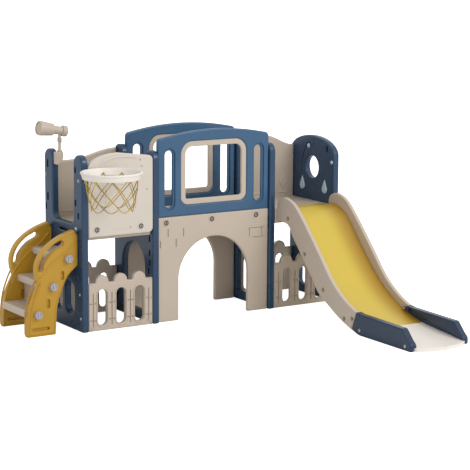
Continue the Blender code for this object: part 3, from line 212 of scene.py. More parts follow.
# Fences. Seam and slot: height of the middle, width, height. Brick lines: offset from a seam, z
FENCES = [f"{place}_fence" for place in ("left_front", "left_rear", "right_front", "right_rear")]
PICKET_PITCH = 0.125
PICKET_SEAM = (0.13, 0.0075, 0.2)
PICKET_SLOT = (0.1405, 0.075, 0.229)
PICKET_BRICKS = [(-0.014, 0.168), (0.014, 0.168), (-0.014, 0.066), (0.014, 0.066)]
BRICK_SIZE = (0.018, 0.0065)
SEAM_DEPTH = 0.007

# Bridge guards: recess round each slot, its z, width and height, and its place from the middle
BAY = (0.8713, 0.083, 0.376)
BAY_ASIDE = 0.318
BAY_DEPTH = 0.008
# Brick marks on the arch panels: x, z, width, height
ARCH_MARKS = [
    (0.587, 0.5465, 0.0075, 0.05), (0.695, 0.5435, 0.0075, 0.05), (0.643, 0.48, 0.0075, 0.05),
    (0.533, 0.48, 0.0075, 0.045), (1.22, 0.528, 0.12, 0.004), (1.235, 0.47, 0.09, 0.004),
    (1.17, 0.5, 0.004, 0.05), (1.262, 0.5, 0.004, 0.05),
]

# Net: softness of the turn at the foot, knots as a share of the cord
NET_FOOT_RADIUS = 0.118
NET_PARTS = 36
NET_SOFTNESS = 0.06
KNOT_SHARE = 0.85

# Telescope, all as radius or offset, height, cut of the corner
FORK_STEM = [
    (0.0, 0.064, 0.0), (0.0092, 0.064, 0.0), (0.0092, 0.012, 0.002), (0.015, 0.01, 0.002),
    (0.015, 0.0003, 0.001), (0.0095, 0.0003, 0.0), (0.0095, -0.03, 0.0), (0.0, -0.03, 0.0),
]

# Inner and outer faces of the fork's ears, from its middle
EAR_SIDES = (0.0064, 0.0134)

# Pin, from its middle
PIN_PROFILE = [
    (0.0, 0.0158, 0.0), (0.0064, 0.0158, 0.0012), (0.0064, 0.0137, 0.0), (0.004, 0.0137, 0.0),
    (0.004, -0.0137, 0.0), (0.0064, -0.0137, 0.0), (0.0064, -0.0158, 0.0012), (0.0, -0.0158, 0.0),
]

# Barrel, from the lens to its rear end
BARREL_PROFILE = [
    (0.0, 0.1455, 0.0), (0.02, 0.146, 0.0), (0.0355, 0.142, 0.001), (0.037, 0.1495, 0.001),
    (0.041, 0.15, 0.003), (0.045, 0.139, 0.006), (0.0365, 0.056, 0.004), (0.034, 0.052, 0.003),
    (0.027, 0.052, 0.002), (0.0255, 0.026, 0.0), (0.0245, 0.001, 0.001), (0.0235, -0.001, 0.0005),
    (0.0245, -0.003, 0.0005), (0.0242, -0.006, 0.0), (0.012, -0.006, 0.0), (0.012, -0.02, 0.0),
    (0.0, -0.02, 0.0),
]

# Lug below the barrel
BARREL_LUG = [
    (-0.01, -0.01, 0.01), (0.01, -0.01, 0.01), (0.0054, 0.012, 0.0), (0.0054, 0.034, 0.0),
    (-0.01, 0.034, 0.0),
]

# Eyepiece wheel, with ridges for grip
WHEEL_RIDGES = 16
WHEEL_PROFILE = [
    (0.0, -0.0145, 0.0), (0.0125, -0.0145, 0.0), (0.0125, -0.0003, 0.0), (0.03, -0.0003, 0.002),
    (0.033, -0.004, 0.002), (0.033, -0.029, 0.003), (0.029, -0.033, 0.003), (0.0205, -0.033, 0.002),
    (0.0195, -0.022, 0.002), (0.0, -0.0205, 0.0),
]

# Camera at the photograph's viewing angle: lens in mm, place, yaw, pitch and roll in degrees
CAMERA_LENS = 129.62
CAMERA_PLACE = (-4.466, -8.673, 2.278)
CAMERA_TURNS = (32.481, 9.831, 0.402)
LAMPS = {"key": (3.4, -5.8, 5.0), "fill": (-2.2, -7.0, 2.4)}
LAMP_TARGET = Vector((0.75, 0.0, 0.6))
LAMP_SIZE = 3.0


def linear(red, green, blue):
    """Linear colour from 0 to 255 display values."""
    return tuple(((value / 255 + 0.055) / 1.055) ** 2.4 for value in (red, green, blue))


def colour_setting(name, description, *display):
    """Colour property whose default is given in 0 to 255 display values."""
    return FloatVectorProperty(
        name=name, description=description, subtype="COLOR", default=linear(*display)
    )


def length_setting(name, description, default, least, most):
    """Length property in metres, with its limits."""
    return FloatProperty(
        name=name, description=description, default=default, min=least, max=most, unit="LENGTH"
    )


class FinishSettings(PropertyGroup):
    """Colours and roughness of the finishes"""

    blue: colour_setting("Blue plastic", "Bridge guards", 54, 90, 122)
    # Darker blue for the frames: painted shade, the guards' plastic as it looks in shade
    shaded_frame_blue: colour_setting("Dark blue plastic", "Upright frames", 34, 63, 92)
    # Deeper blue for the bumpers: painted shade of the same plastic
    shaded_bumper_blue: colour_setting("Deep blue plastic", "Slide bumpers", 26, 48, 74)
    beige: colour_setting("Beige plastic", "Panels, decks, fences and slide walls", 190, 176, 160)
    cream: colour_setting("Pale plastic", "Hoop backboard and its screw caps", 206, 197, 185)
    # Pale knobs and drops: painted highlight standing in for the shine of glossy plastic
    drops: colour_setting("Knobs and drops", "Pale drops and knobs on the frames", 176, 196, 208)
    screw: colour_setting("Sunk screws", "Screws in the slide walls", 124, 106, 92)
    # Recess shade: a dark colour for the floor of the screw cap grooves, painted shade in place of their shadow
    recess: colour_setting("Recess shade", "Floor of the grooves in the screw caps", 62, 54, 48)
    yellow: colour_setting("Yellow plastic", "Stair sides", 186, 142, 38)
    chute: colour_setting("Chute plastic", "Sliding surface", 204, 178, 66)
    white: colour_setting("White plastic", "Run-out tray and hoop ring", 230, 223, 214)
    grey: colour_setting("Grey caps", "Lock caps, bolts and bumper screws", 172, 167, 172)
    cord: colour_setting("Net cord", "Basketball net", 206, 172, 62)
    steel: colour_setting("Pin steel", "Telescope pin", 176, 174, 172)
    gloss: FloatProperty(
        name="Roughness",
        description="Roughness of the moulded plastic",
        default=0.34,
        min=0.05,
        max=1.0,
        subtype="FACTOR",
    )


class MouldSettings(PropertyGroup):
    """Roundings, ribs and recesses of the mouldings"""

    frame_edge: length_setting("Frame edge", "Rounding of the frame rims", 0.009, 0.002, 0.014)
    panel_edge: length_setting("Panel edge", "Rounding of the panel rims", 0.0085, 0.002, 0.012)
    sheet_edge: length_setting(
        "Sheet edge", "Rounding of treads, trims and decks", 0.004, 0.001, 0.008
    )
    rib_radius: length_setting("Rib radius", "Radius of the moulded ribs", 0.0055, 0.001, 0.01)
    recess_depth: length_setting(
        "Recess depth", "Depth of hook slots and recesses", 0.013, 0.002, 0.015
    )
    screw_radius: length_setting(
        "Screw radius", "Radius of the small screw heads", 0.0105, 0.003, 0.02
    )


class NetSettings(PropertyGroup):
    """Cords of the basketball net"""

    loops: IntProperty(
        name="Loops",
        description="Cords that go down one way and come up the other",
        default=9,
        min=6,
        max=16,
    )
    cord: length_setting("Cord", "Diameter of the net cord", 0.005, 0.002, 0.008)


class StageSettings(PropertyGroup):
    """Lights and floor of the studio"""

    key_power: FloatProperty(
        name="Key light",
        description="Power of the large front lamp",
        default=200.0,
        min=0.0,
        unit="POWER",
    )
    fill_power: FloatProperty(
        name="Fill light",
        description="Power of the weak left lamp",
        default=30.0,
        min=0.0,
        unit="POWER",
    )
    sky: FloatProperty(
        name="Sky", description="Strength of the even surrounding light", default=0.82, min=0.0
    )
    floor_size: length_setting("Floor", "Width of the pale floor", 240.0, 5.0, 1000.0)


# Materials
def set_inputs(node, values):
    """Sets sockets of a node by their names."""
    for name, value in values.items():
        node.inputs[name].default_value = value


def new_material(name):
    """New material with its nodes, their link function and its shader."""
    material = bpy.data.materials.new(name)
    material.use_nodes = True
    tree = material.node_tree
    return material, tree.nodes, tree.links.new, tree.nodes["Principled BSDF"]


def moulded_surface():
    """Node group of blow-moulded plastic: slow tone drift, fine grain and a soft waviness."""
    known = bpy.data.node_groups.get("moulded_surface")
    if known:
        return known
    group = bpy.data.node_groups.new("moulded_surface", "ShaderNodeTree")
    sockets = {
        "INPUT": {
            "Place": "Vector",
            "Colour": "Color",
            "Tone Drift": "Float",
            "Roughness": "Float",
            "Grain Height": "Float",
            "Wave Height": "Float",
        },
        "OUTPUT": {"Colour": "Color", "Roughness": "Float", "Height": "Float"},
    }
    for direction, kinds in sockets.items():
        for name, kind in kinds.items():
            group.interface.new_socket(name=name, in_out=direction, socket_type=f"NodeSocket{kind}")
    nodes = group.nodes
    link = group.links.new
    entry = nodes.new("NodeGroupInput").outputs
    leave = nodes.new("NodeGroupOutput").inputs

    def noise(scale, detail):
        node = nodes.new("ShaderNodeTexNoise")
        set_inputs(node, {"Scale": scale, "Detail": detail})
        link(entry["Place"], node.inputs["Vector"])
        return node.outputs["Fac"]

    def reckon(operation, *values):
        node = nodes.new("ShaderNodeMath")
        node.operation = operation
        for socket, value in zip(node.inputs, values):
            if isinstance(value, float):
                socket.default_value = value
            else:
                link(value, socket)
        return node.outputs[0]

    drift = noise(3.2, 3.0)
    mottle = noise(38.0, 2.0)
    grain = noise(620.0, 1.0)
    wave = noise(5.5, 1.0)
    mixed = reckon("ADD", drift, reckon("MULTIPLY", mottle, MOTTLE_SHARE))
    share = reckon("MULTIPLY", reckon("SUBTRACT", mixed, MIDDLE_TONE), entry["Tone Drift"])
    tone = nodes.new("ShaderNodeVectorMath")
    tone.operation = "SCALE"
    link(entry["Colour"], tone.inputs[0])
    link(reckon("ADD", share, 1.0), tone.inputs["Scale"])
    link(tone.outputs[0], leave["Colour"])
    spread = reckon("MULTIPLY", reckon("SUBTRACT", drift, 0.5), ROUGHNESS_DRIFT)
    link(reckon("ADD", entry["Roughness"], spread), leave["Roughness"])
    fine = reckon("MULTIPLY", grain, entry["Grain Height"])
    slow = reckon("MULTIPLY", wave, entry["Wave Height"])
    link(reckon("ADD", fine, slow), leave["Height"])
    return group


def moulded_plastic(name, colour, roughness, tone, wave):
    """Moulded plastic with its own colour, tone drift and waviness."""
    material, nodes, link, shader = new_material(name)
    shader.inputs["IOR"].default_value = 1.48
    place = nodes.new("ShaderNodeTexCoord")
    surface = nodes.new("ShaderNodeGroup")
    surface.node_tree = moulded_surface()
    values = {
        "Colour": (*colour, 1.0),
        "Tone Drift": tone,
        "Roughness": roughness,
        "Grain Height": GRAIN_HEIGHT,
        "Wave Height": wave,
    }
    set_inputs(surface, values)
    bump = nodes.new("ShaderNodeBump")
    set_inputs(bump, {"Distance": 1.0, "Strength": 1.0})
    link(place.outputs["Object"], surface.inputs["Place"])
    link(surface.outputs["Colour"], shader.inputs["Base Color"])
    link(surface.outputs["Roughness"], shader.inputs["Roughness"])
    link(surface.outputs["Height"], bump.inputs["Height"])
    link(bump.outputs["Normal"], shader.inputs["Normal"])
    material.diffuse_color = (*colour, 1.0)
    return material


def painted_wall_shade(material):
    """The material with painted shade: its tone deepened towards the right wall of the slide, where the wall's
    shadow falls.
    """
    nodes = material.node_tree.nodes
    link = material.node_tree.links.new
    base = nodes["Principled BSDF"].inputs["Base Color"]
    source = base.links[0].from_socket
    place = nodes.new("ShaderNodeTexCoord")
    split = nodes.new("ShaderNodeSeparateXYZ")
    link(place.outputs["Object"], split.inputs[0])
    # Painted shade: a ramp that darkens the chute near its right wall
    wall_shade_ramp = nodes.new("ShaderNodeMapRange")
    wall_shade_ramp.interpolation_type = "SMOOTHSTEP"
    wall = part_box("slide_chute")[1].x
    set_inputs(wall_shade_ramp, {"From Min": wall - WALL_SHADE_WIDTH, "From Max": wall})
    link(split.outputs["X"], wall_shade_ramp.inputs["Value"])
    blend = nodes.new("ShaderNodeMix")
    blend.data_type = "RGBA"
    blend.blend_type = "MULTIPLY"
    colour_in = [socket for socket in blend.inputs if socket.type == "RGBA"]
    colour_in[1].default_value = WALL_SHADE_TONE
    link(wall_shade_ramp.outputs["Result"], blend.inputs[0])
    link(source, colour_in[0])
    link([socket for socket in blend.outputs if socket.type == "RGBA"][0], base)
    return material


def braided_cord(name, colour):
    """Braided cord: fine strands over a drifting tone."""
    material, nodes, link, shader = new_material(name)
    shader.inputs["Roughness"].default_value = 0.75
    place = nodes.new("ShaderNodeTexCoord")
    strands = nodes.new("ShaderNodeTexWave")
    set_inputs(strands, {"Scale": 260.0, "Distortion": 1.5})
    link(place.outputs["Object"], strands.inputs["Vector"])
    drift = nodes.new("ShaderNodeTexNoise")
    drift.inputs["Scale"].default_value = 24.0
    link(place.outputs["Object"], drift.inputs["Vector"])
    ramp = nodes.new("ShaderNodeValToRGB")
    stops = ((0.34, [value * 0.45 for value in colour]), (0.6, colour))
    for stop, (position, tone) in zip(ramp.color_ramp.elements, stops):
        stop.position = position
        stop.color = (*tone, 1.0)
    link(drift.outputs["Fac"], ramp.inputs["Fac"])
    link(ramp.outputs["Color"], shader.inputs["Base Color"])
    bump = nodes.new("ShaderNodeBump")
    bump.inputs["Distance"].default_value = 0.0006
    link(strands.outputs["Fac"], bump.inputs["Height"])
    link(bump.outputs["Normal"], shader.inputs["Normal"])
    return material


def brushed_steel(name, colour):
    """Zinc-plated steel with fine brushed streaks."""
    material, nodes, link, shader = new_material(name)
    set_inputs(shader, {"Metallic": 0.9, "Base Color": (*colour, 1.0)})
    place = nodes.new("ShaderNodeTexCoord")
    stretch = nodes.new("ShaderNodeMapping")
    stretch.inputs["Scale"].default_value = (900.0, 40.0, 900.0)
    link(place.outputs["Object"], stretch.inputs["Vector"])
    streaks = nodes.new("ShaderNodeTexNoise")
    streaks.inputs["Scale"].default_value = 1.0
    link(stretch.outputs["Vector"], streaks.inputs["Vector"])
    spread = nodes.new("ShaderNodeMapRange")
    set_inputs(spread, {"To Min": 0.22, "To Max": 0.48})
    link(streaks.outputs["Fac"], spread.inputs["Value"])
    link(spread.outputs["Result"], shader.inputs["Roughness"])
    return material


def finish(slot):
    """The material of a slot or look, made the first time it is asked for."""
    name = f"finish_{slot}"
    known = bpy.data.materials.get(name)
    if known:
        return known
    look = bpy.context.scene.playset_finish
    if slot == "net_cord":
        return braided_cord(name, look.cord)
    if slot == "pin_steel":
        return brushed_steel(name, look.steel)
    if slot not in FINISHES:
        raise RuntimeError(f"no finish is written for the slot {slot}")
    setting, shift, tone, wave = FINISHES[slot]
    material = moulded_plastic(name, getattr(look, setting), look.gloss + shift, tone, wave)
    # The chute gets painted shade along its right wall
    return painted_wall_shade(material) if slot == "chute_yellow_plastic" else material


# Outlines
def flat_point(axis, across, up, level):
    """Point of an outline in the plane across an axis at that level."""
    if axis == 0:
        return Vector((level, across, up))
    return Vector((across, level, up))


def on_face(axis, points, level):
    """Outline points as places on a flat face at that level."""
    return [flat_point(axis, point[0], point[1], level) for point in points]


def merged_copy(node):
    """Copy of a CAD node's mesh with its loose triangles joined."""
    shape = bmesh.new()
    shape.from_mesh(frame["nodes"][node].data)
    bmesh.ops.remove_doubles(shape, verts=shape.verts, dist=MERGE)
    return shape


def wall_level(node, axis, side):
    """Level where a CAD node's walls begin, behind the chamfer of its low (-1) or high (1) face."""
    levels = sorted(
        {round(vert.co[axis], 5) for vert in frame["nodes"][node].data.vertices}, reverse=side > 0
    )
    for level in levels[1:]:
        if 1.5 * LEVEL_TOLERANCE < abs(level - levels[0]) < DEEPEST_CHAMFER:
            return level
    return levels[0]


def rim_loops(node, axis, level):
    """Outlines of a CAD node where its walls cross or leave the plane at that level."""
    shape = merged_copy(node)
    shape.normal_update()
    shape.verts.index_update()
    across = 1 if axis == 0 else 0
    near = {}
    for edge in shape.edges:
        if any(abs(vert.co[axis] - level) > LEVEL_TOLERANCE for vert in edge.verts):
            continue
        walls = [face for face in edge.link_faces if abs(face.normal[axis]) < WALL_TILT]
        if len(walls) != 1:
            continue
        first, second = edge.verts
        near.setdefault(first, []).append(second)
        near.setdefault(second, []).append(first)
    loops = []
    unused = dict(near)
    while unused:
        ends = [
            vert for vert, others in unused.items() if sum(other in unused for other in others) == 1
        ]
        here = ends[0] if ends else next(iter(unused))
        loop = []
        while here is not None:
            del unused[here]
            loop.append((here.co[across], here.co[2]))
            here = next((other for other in near[here] if other in unused), None)
        width = max(point[0] for point in loop) - min(point[0] for point in loop)
        height = max(point[1] for point in loop) - min(point[1] for point in loop)
        if max(width, height) > SMALLEST_OUTLINE:
            loops.append([Vector(point) for point in loop])
    shape.free()
    if not loops:
        raise RuntimeError(f"no outline was found on {node} at {level}")
    return loops


def thinned(loop, gap=0.0035):
    """The loop without points closer together than the gap."""
    kept = [loop[0]]
    for point in loop[1:]:
        if (point - kept[-1]).length >= gap:
            kept.append(point)
    if (kept[-1] - kept[0]).length < gap:
        kept.pop()
    return kept


def between(here, leave, ahead, arrive, share):
    """Hermite point at a share of the way, with the tangents that leave and arrive."""
    square, cube = share**2, share**3
    return (
        here * (2 * cube - 3 * square + 1) + leave * (
            cube - 2 * square + share
        ) + ahead * (3 * square - 2 * cube) + arrive * (cube - square)
    )


def softened(loop, parts=3):
    """The loop with its flat-sided curves filled in by Hermite points between gentle turns."""
    count = len(loop)
    chords = [loop[(index + 1) % count] - loop[index] for index in range(count)]
    tangents = []
    for index, after in enumerate(chords):
        before = chords[index - 1]
        if before.angle(after) > math.radians(SOFT_TURN):
            tangents.append((before.normalized(), after.normalized()))
            continue
        if before.length > 3 * after.length:
            shared = before.normalized()
        elif after.length > 3 * before.length:
            shared = after.normalized()
        else:
            weight = 1 / before.length, 1 / after.length
            shared = before.normalized() * weight[0] + after.normalized() * weight[1]
            shared.normalize()
        tangents.append((shared, shared))
    points = []
    for index, (here, chord) in enumerate(zip(loop, chords)):
        follower = (index + 1) % count
        leave = tangents[index][1] * chord.length
        arrive = tangents[follower][0] * chord.length
        points.append(here)
        bend = max(leave.angle(chord), arrive.angle(chord))
        if bend < math.radians(STRAIGHT_TURN) or chord.length < SHORTEST_CHORD:
            continue
        for part in range(1, parts):
            points.append(between(here, leave, loop[follower], arrive, part / parts))
    return points


def capsule(across, up, width, height, steps=8):
    """Outline of an upright or lying slot with round ends."""
    radius = min(width, height) / 2
    reach = max(width, height) / 2 - radius
    points = []
    for end in (1, -1):
        for step in range(steps + 1):
            angle = math.pi * step / steps
            along = end * (reach + radius * math.sin(angle))
            aside = end * radius * math.cos(angle)
            if height >= width:
                points.append(Vector((across + aside, up + along)))
            else:
                points.append(Vector((across + along, up - aside)))
    return points


def drop_outline(across, up):
    """Outline of a drop with its point upwards."""
    radius, point, steps = 0.027, 0.062, 14
    points = [Vector((across, up + point))]
    for step in range(steps + 1):
        angle = math.radians(30) - math.radians(240) * step / steps
        points.append(Vector((across + radius * math.cos(angle), up + radius * math.sin(angle))))
    return points


def filleted(corners, steps=4, closed=False):
    """Profile points from (radius, height, cut) corners, each corner cut back and rounded."""
    count = len(corners)
    points = []
    for index, (radius, height, cut) in enumerate(corners):
        here = Vector((radius, height))
        inner = closed or 0 < index < count - 1
        if cut <= 0 or not inner:
            points.append(here)
            continue
        before = Vector(corners[index - 1][:2]) - here
        after = Vector(corners[(index + 1) % count][:2]) - here
        start = here + before.normalized() * min(cut, before.length / 2)
        end = here + after.normalized() * min(cut, after.length / 2)
        for step in range(steps + 1):
            share = step / steps
            points.append(
                start * (1 - share) ** 2 + here * 2 * share * (1 - share) + end * share**2
            )
    return points


def inset_loop(loop, distance):
    """The closed loop moved inwards by the distance."""
    area = sum(loop[index - 1].cross(loop[index]) for index in range(len(loop)))
    inwards = math.copysign(1.0, area)
    moved = []
    for index, point in enumerate(loop):
        along = (loop[(index + 1) % len(loop)] - loop[index - 1]).normalized()
        moved.append(point + Vector((-along.y, along.x)) * inwards * distance)
    return moved


def smooth_path(points, parts=4):
    """Points of a smooth open line through the given ones."""
    run = []
    last = len(points) - 1
    for index in range(last):
        here, ahead = Vector(points[index]), Vector(points[index + 1])
        leave = (ahead - Vector(points[max(index - 1, 0)])) * 0.5
        arrive = (Vector(points[min(index + 2, last)]) - here) * 0.5
        run += [between(here, leave, ahead, arrive, part / parts) for part in range(parts)]
    run.append(Vector(points[-1]))
    return run


# Solid shapes
def facing(place, direction):
    """Matrix that puts a turned shape's +Z along a direction at that place."""
    return Matrix.Translation(
        Vector(place)
    ) @ Vector(direction).to_track_quat("Z", "Y").to_matrix().to_4x4()


def add_object(name, data):
    """New object with that data, in the scene."""
    thing = bpy.data.objects.new(name, data)
    bpy.context.scene.collection.objects.link(thing)
    return thing


def mesh_of(name, shape):
    """New mesh from a bmesh, which is used up."""
    mesh = bpy.data.meshes.new(name)
    shape.to_mesh(mesh)
    shape.free()
    return mesh


def join_shape(shape, part):
    """Adds one bmesh to another and uses it up."""
    mesh = mesh_of("joined_part", part)
    shape.from_mesh(mesh)
    bpy.data.meshes.remove(mesh)


def add_slab(shape, loops, axis, low, high, edge, steps=3):
    """Adds a closed slab between two levels, its outlines filled and its rims rounded."""
    low, high = sorted((low, high))
    part = bmesh.new()
    rims = []
    for loop in loops:
        points = thinned(loop, 10 * MERGE)
        verts = [part.verts.new(place) for place in on_face(axis, points, low + edge)]
        rims.extend(part.edges.new((verts[index - 1], verts[index])) for index in range(len(verts)))
    bmesh.ops.triangle_fill(part, use_beauty=True, use_dissolve=False, edges=rims)
    bottom = list(part.faces)
    if not bottom:
        raise RuntimeError("an outline could not be filled")
    grown = bmesh.ops.extrude_face_region(part, geom=bottom, use_keep_orig=True)["geom"]
    raised = [item for item in grown if isinstance(item, bmesh.types.BMVert)]
    top = [item for item in grown if isinstance(item, bmesh.types.BMFace)]
    shift = Vector((0.0, 0.0, 0.0))
    shift[axis] = high - low - 2 * edge
    bmesh.ops.translate(part, vec=shift, verts=raised)
    bmesh.ops.recalc_face_normals(part, faces=part.faces)
    if edge > 0:
        for cap in (bottom, top):
            for step in range(steps):
                start = math.pi / 2 * step / steps
                end = math.pi / 2 * (step + 1) / steps
                bmesh.ops.inset_region(
                    part,
                    faces=cap,
                    use_boundary=True,
                    use_even_offset=True,
                    thickness=edge * (math.cos(start) - math.cos(end)),
                    depth=edge * (math.sin(end) - math.sin(start)),
                )
    join_shape(shape, part)


def add_turned(shape, profile, place, steps=28, closed=False):
    """Spins a (radius, height) profile about its axis and adds it to the bmesh at that place."""
    part = bmesh.new()
    verts = [part.verts.new((point[0], 0.0, point[1])) for point in profile]
    edges = [part.edges.new(pair) for pair in zip(verts, verts[1:])]
    if closed:
        edges.append(part.edges.new((verts[-1], verts[0])))
    bmesh.ops.spin(
        part,
        geom=[*verts, *edges],
        cent=(0.0, 0.0, 0.0),
        axis=(0.0, 0.0, 1.0),
        angle=2 * math.pi,
        steps=steps,
        use_merge=True,
    )
    bmesh.ops.remove_doubles(part, verts=part.verts, dist=MERGE)
    bmesh.ops.recalc_face_normals(part, faces=part.faces)
    bmesh.ops.transform(part, matrix=place, verts=part.verts)
    join_shape(shape, part)


def add_box(shape, centre, size, edge, segments=3):
    """Adds a box with rounded edges."""
    part = bmesh.new()
    bmesh.ops.create_cube(part, size=1.0)
    bmesh.ops.scale(part, vec=Vector(size), verts=part.verts)
    if edge > 0:
        bmesh.ops.bevel(
            part,
            geom=list(part.edges),
            offset=edge,
            offset_type="OFFSET",
            affect="EDGES",
            segments=segments,
            profile=0.5,
            material=-1,
        )
    bmesh.ops.transform(part, matrix=Matrix.Translation(Vector(centre)), verts=part.verts)
    join_shape(shape, part)


def add_tubes(shape, paths, radius, closed=False):
    """Adds round tubes that follow the paths, with closed ends."""
    curve = bpy.data.curves.new("tube_path", "CURVE")
    curve.dimensions = "3D"
    curve.bevel_depth = radius
    curve.bevel_resolution = 2
    curve.use_fill_caps = True
    for path in paths:
        line = curve.splines.new("POLY")
        line.points.add(len(path) - 1)
        for point, place in zip(line.points, path):
            point.co = (*place, 1.0)
        line.use_cyclic_u = closed
    holder = add_object("tube_path", curve)
    graph = bpy.context.evaluated_depsgraph_get()
    mesh = bpy.data.meshes.new_from_object(holder.evaluated_get(graph))
    part = bmesh.new()
    part.from_mesh(mesh)
    bmesh.ops.remove_doubles(part, verts=part.verts, dist=MERGE)
    bmesh.ops.recalc_face_normals(part, faces=part.faces)
    join_shape(shape, part)
    bpy.data.objects.remove(holder)
    bpy.data.curves.remove(curve)
    bpy.data.meshes.remove(mesh)


def carved(shape, cutter):
    """The bmesh with closed cutter shells taken out of it. Both are used up."""
    whole = shape.calc_volume()
    pair = []
    for name, source in (("carved_body", shape), ("carving_tool", cutter)):
        pair.append(add_object(name, mesh_of(name, source)))
    body, tool = pair
    carving = body.modifiers.new("carve", "BOOLEAN")
    carving.operation = "DIFFERENCE"
    carving.solver = "EXACT"
    carving.object = tool
    result = bmesh.new()
    kept_share = 0.0
    for crossing_walls in (False, True):
        carving.use_self = crossing_walls
        graph = bpy.context.evaluated_depsgraph_get()
        mesh = bpy.data.meshes.new_from_object(body.evaluated_get(graph))
        result.clear()
        result.from_mesh(mesh)
        bpy.data.meshes.remove(mesh)
        kept_share = result.calc_volume() / whole
        if SMALLEST_REST < kept_share <= 1.0:
            break
    for holder in pair:
        data = holder.data
        bpy.data.objects.remove(holder)
        bpy.data.meshes.remove(data)
    if not SMALLEST_REST < kept_share <= 1.0:
        raise RuntimeError("carving did not leave the body whole")
    return result


def add_bolt(shape, place, direction, radius, height):
    """Adds a domed bolt head with a shallow drive recess."""
    profile = filleted(
        [
            (0.0, height * 0.55, 0.0), (radius * 0.38, height * 0.55, 0.0008),
            (radius * 0.5, height, 0.0012), (radius * 0.82, height * 0.92, 0.002),
            (radius, 0.0, 0.0), (radius, -SUNK, 0.0), (0.0, -SUNK, 0.0),
        ]
    )
    add_turned(shape, profile, facing(place, direction), steps=20)


def add_dome(shape, place, direction, radius, height):
    """Adds a plain domed knob."""
    angles = [math.pi / 2 * step / 5 for step in range(4, -1, -1)]
    profile = [(0.0, height)]
    profile += [(radius * math.cos(angle), height * math.sin(angle)) for angle in angles]
    profile += [(radius, -SUNK), (0.0, -SUNK)]
    add_turned(shape, profile, facing(place, direction), steps=20)


def finish_piece(name, shape, slot, body, covers=(), sharp=SHARP_ANGLE, look=None):
    """Makes a piece from its bmesh, with the finish of its look or else its slot, on its body, and hides the CAD
    nodes it covers.
    """
    mesh = mesh_of(name, shape)
    mesh.shade_smooth()
    mesh.set_sharp_from_angle(angle=math.radians(sharp))
    mesh.materials.append(finish(look or slot))
    piece = add_object(name, mesh)
    weighted = piece.modifiers.new("weighted_normals", "WEIGHTED_NORMAL")
    weighted.keep_sharp = True
    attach(piece, body)
    if covers:
        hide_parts(*covers)


def finish_node_piece(node, shape, sharp=SHARP_ANGLE, look=None):
    """Finishes a piece that stands for one CAD node."""
    finish_piece(f"{node}_shell", shape, slot_of[node], body_of[node], [node], sharp, look)


def finish_fasteners(name, shape, look=None):
    """Finishes small fasteners that ride on the play set and cover no CAD node."""
    finish_piece(name, shape, "cap_grey_plastic", "play_set", look=look)


def moulding(node, axis, edge):
    """Shell of a flat CAD node: outlines softened, filled, extruded and rounded at the rims."""
    low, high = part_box(node)
    outlines = rim_loops(node, axis, wall_level(node, axis, -1))
    loops = [softened(thinned(loop)) for loop in outlines]
    shape = bmesh.new()
    add_slab(shape, loops, axis, low[axis], high[axis], edge)
    return shape


def carve_slots(shape, axis, slots, face, depth, way):
    """Cuts slot outlines into a face to a depth. The way is 1 or -1 along the axis, inwards."""
    cutter = bmesh.new()
    for outline in slots:
        add_slab(cutter, [outline], axis, face - way * OVERCUT, face + way * depth, 0.0)
    return carved(shape, cutter)


def add_ribs(shape, axis, face, lines, radius, closed=False):
    """Adds half-sunk round ribs that follow flat lines on a face."""
    add_tubes(shape, [on_face(axis, line, face) for line in lines], radius, closed)


class PLAYSET_OT_frames(Operator):
    """Build the four upright frames with rounded rims, hook slots, drops and bolt heads"""

    bl_idname = "playset.frames"
    bl_label = "Frames"

    def execute(self, context):
        mould = context.scene.playset_mould
        bolts = bmesh.new()
        knobs = bmesh.new()
        for node, recesses in FRAME_RECESSES.items():
            low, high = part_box(node)
            shape = moulding(node, 0, mould.frame_edge)
            slots = []
            for kind, across, up in recesses:
                if kind == "drop":
                    drop = [drop_outline(across, up)]
                    add_slab(knobs, drop, 0, low.x - RAISED, low.x + RAISED, DROP_EDGE, 5)
                else:
                    slots.append(capsule(across, up, *RECESS_SIZES[kind]))
            shape = carve_slots(shape, 0, slots, low.x, mould.recess_depth, 1)
            if node == "right_end_frame":
                pockets = [capsule(across, up, *POCKET_SIZE) for across, up in END_BOLTS]
                shape = carve_slots(shape, 0, pockets, high.x, POCKET_DEPTH, -1)
                groove = bmesh.new()
                add_ribs(groove, 0, low.x, [smooth_path(END_GROOVE)], mould.rib_radius)
                shape = carved(shape, groove)
                for across, up in END_BOLTS:
                    add_bolt(bolts, (high.x - POCKET_DEPTH, across, up), RIGHT, 0.012, 0.006)
            for across, up, radius in FRAME_KNOBS.get(node, []):
                add_dome(knobs, (low.x, across, up), LEFT, radius, RAISED)
            for across, up, radius, height in FRAME_BOLTS.get(node, []):
                add_bolt(bolts, (low.x, across, up), LEFT, radius, height)
            # The frames take the darker blue: painted shade
            finish_node_piece(node, shape, look="frame_blue")
        finish_fasteners("frame_bolts", bolts)
        # The knobs and drops take a pale colour as painted highlight
        finish_piece("frame_knobs", knobs, "white_plastic", "play_set", look="pale_drop")
        return {"FINISHED"}


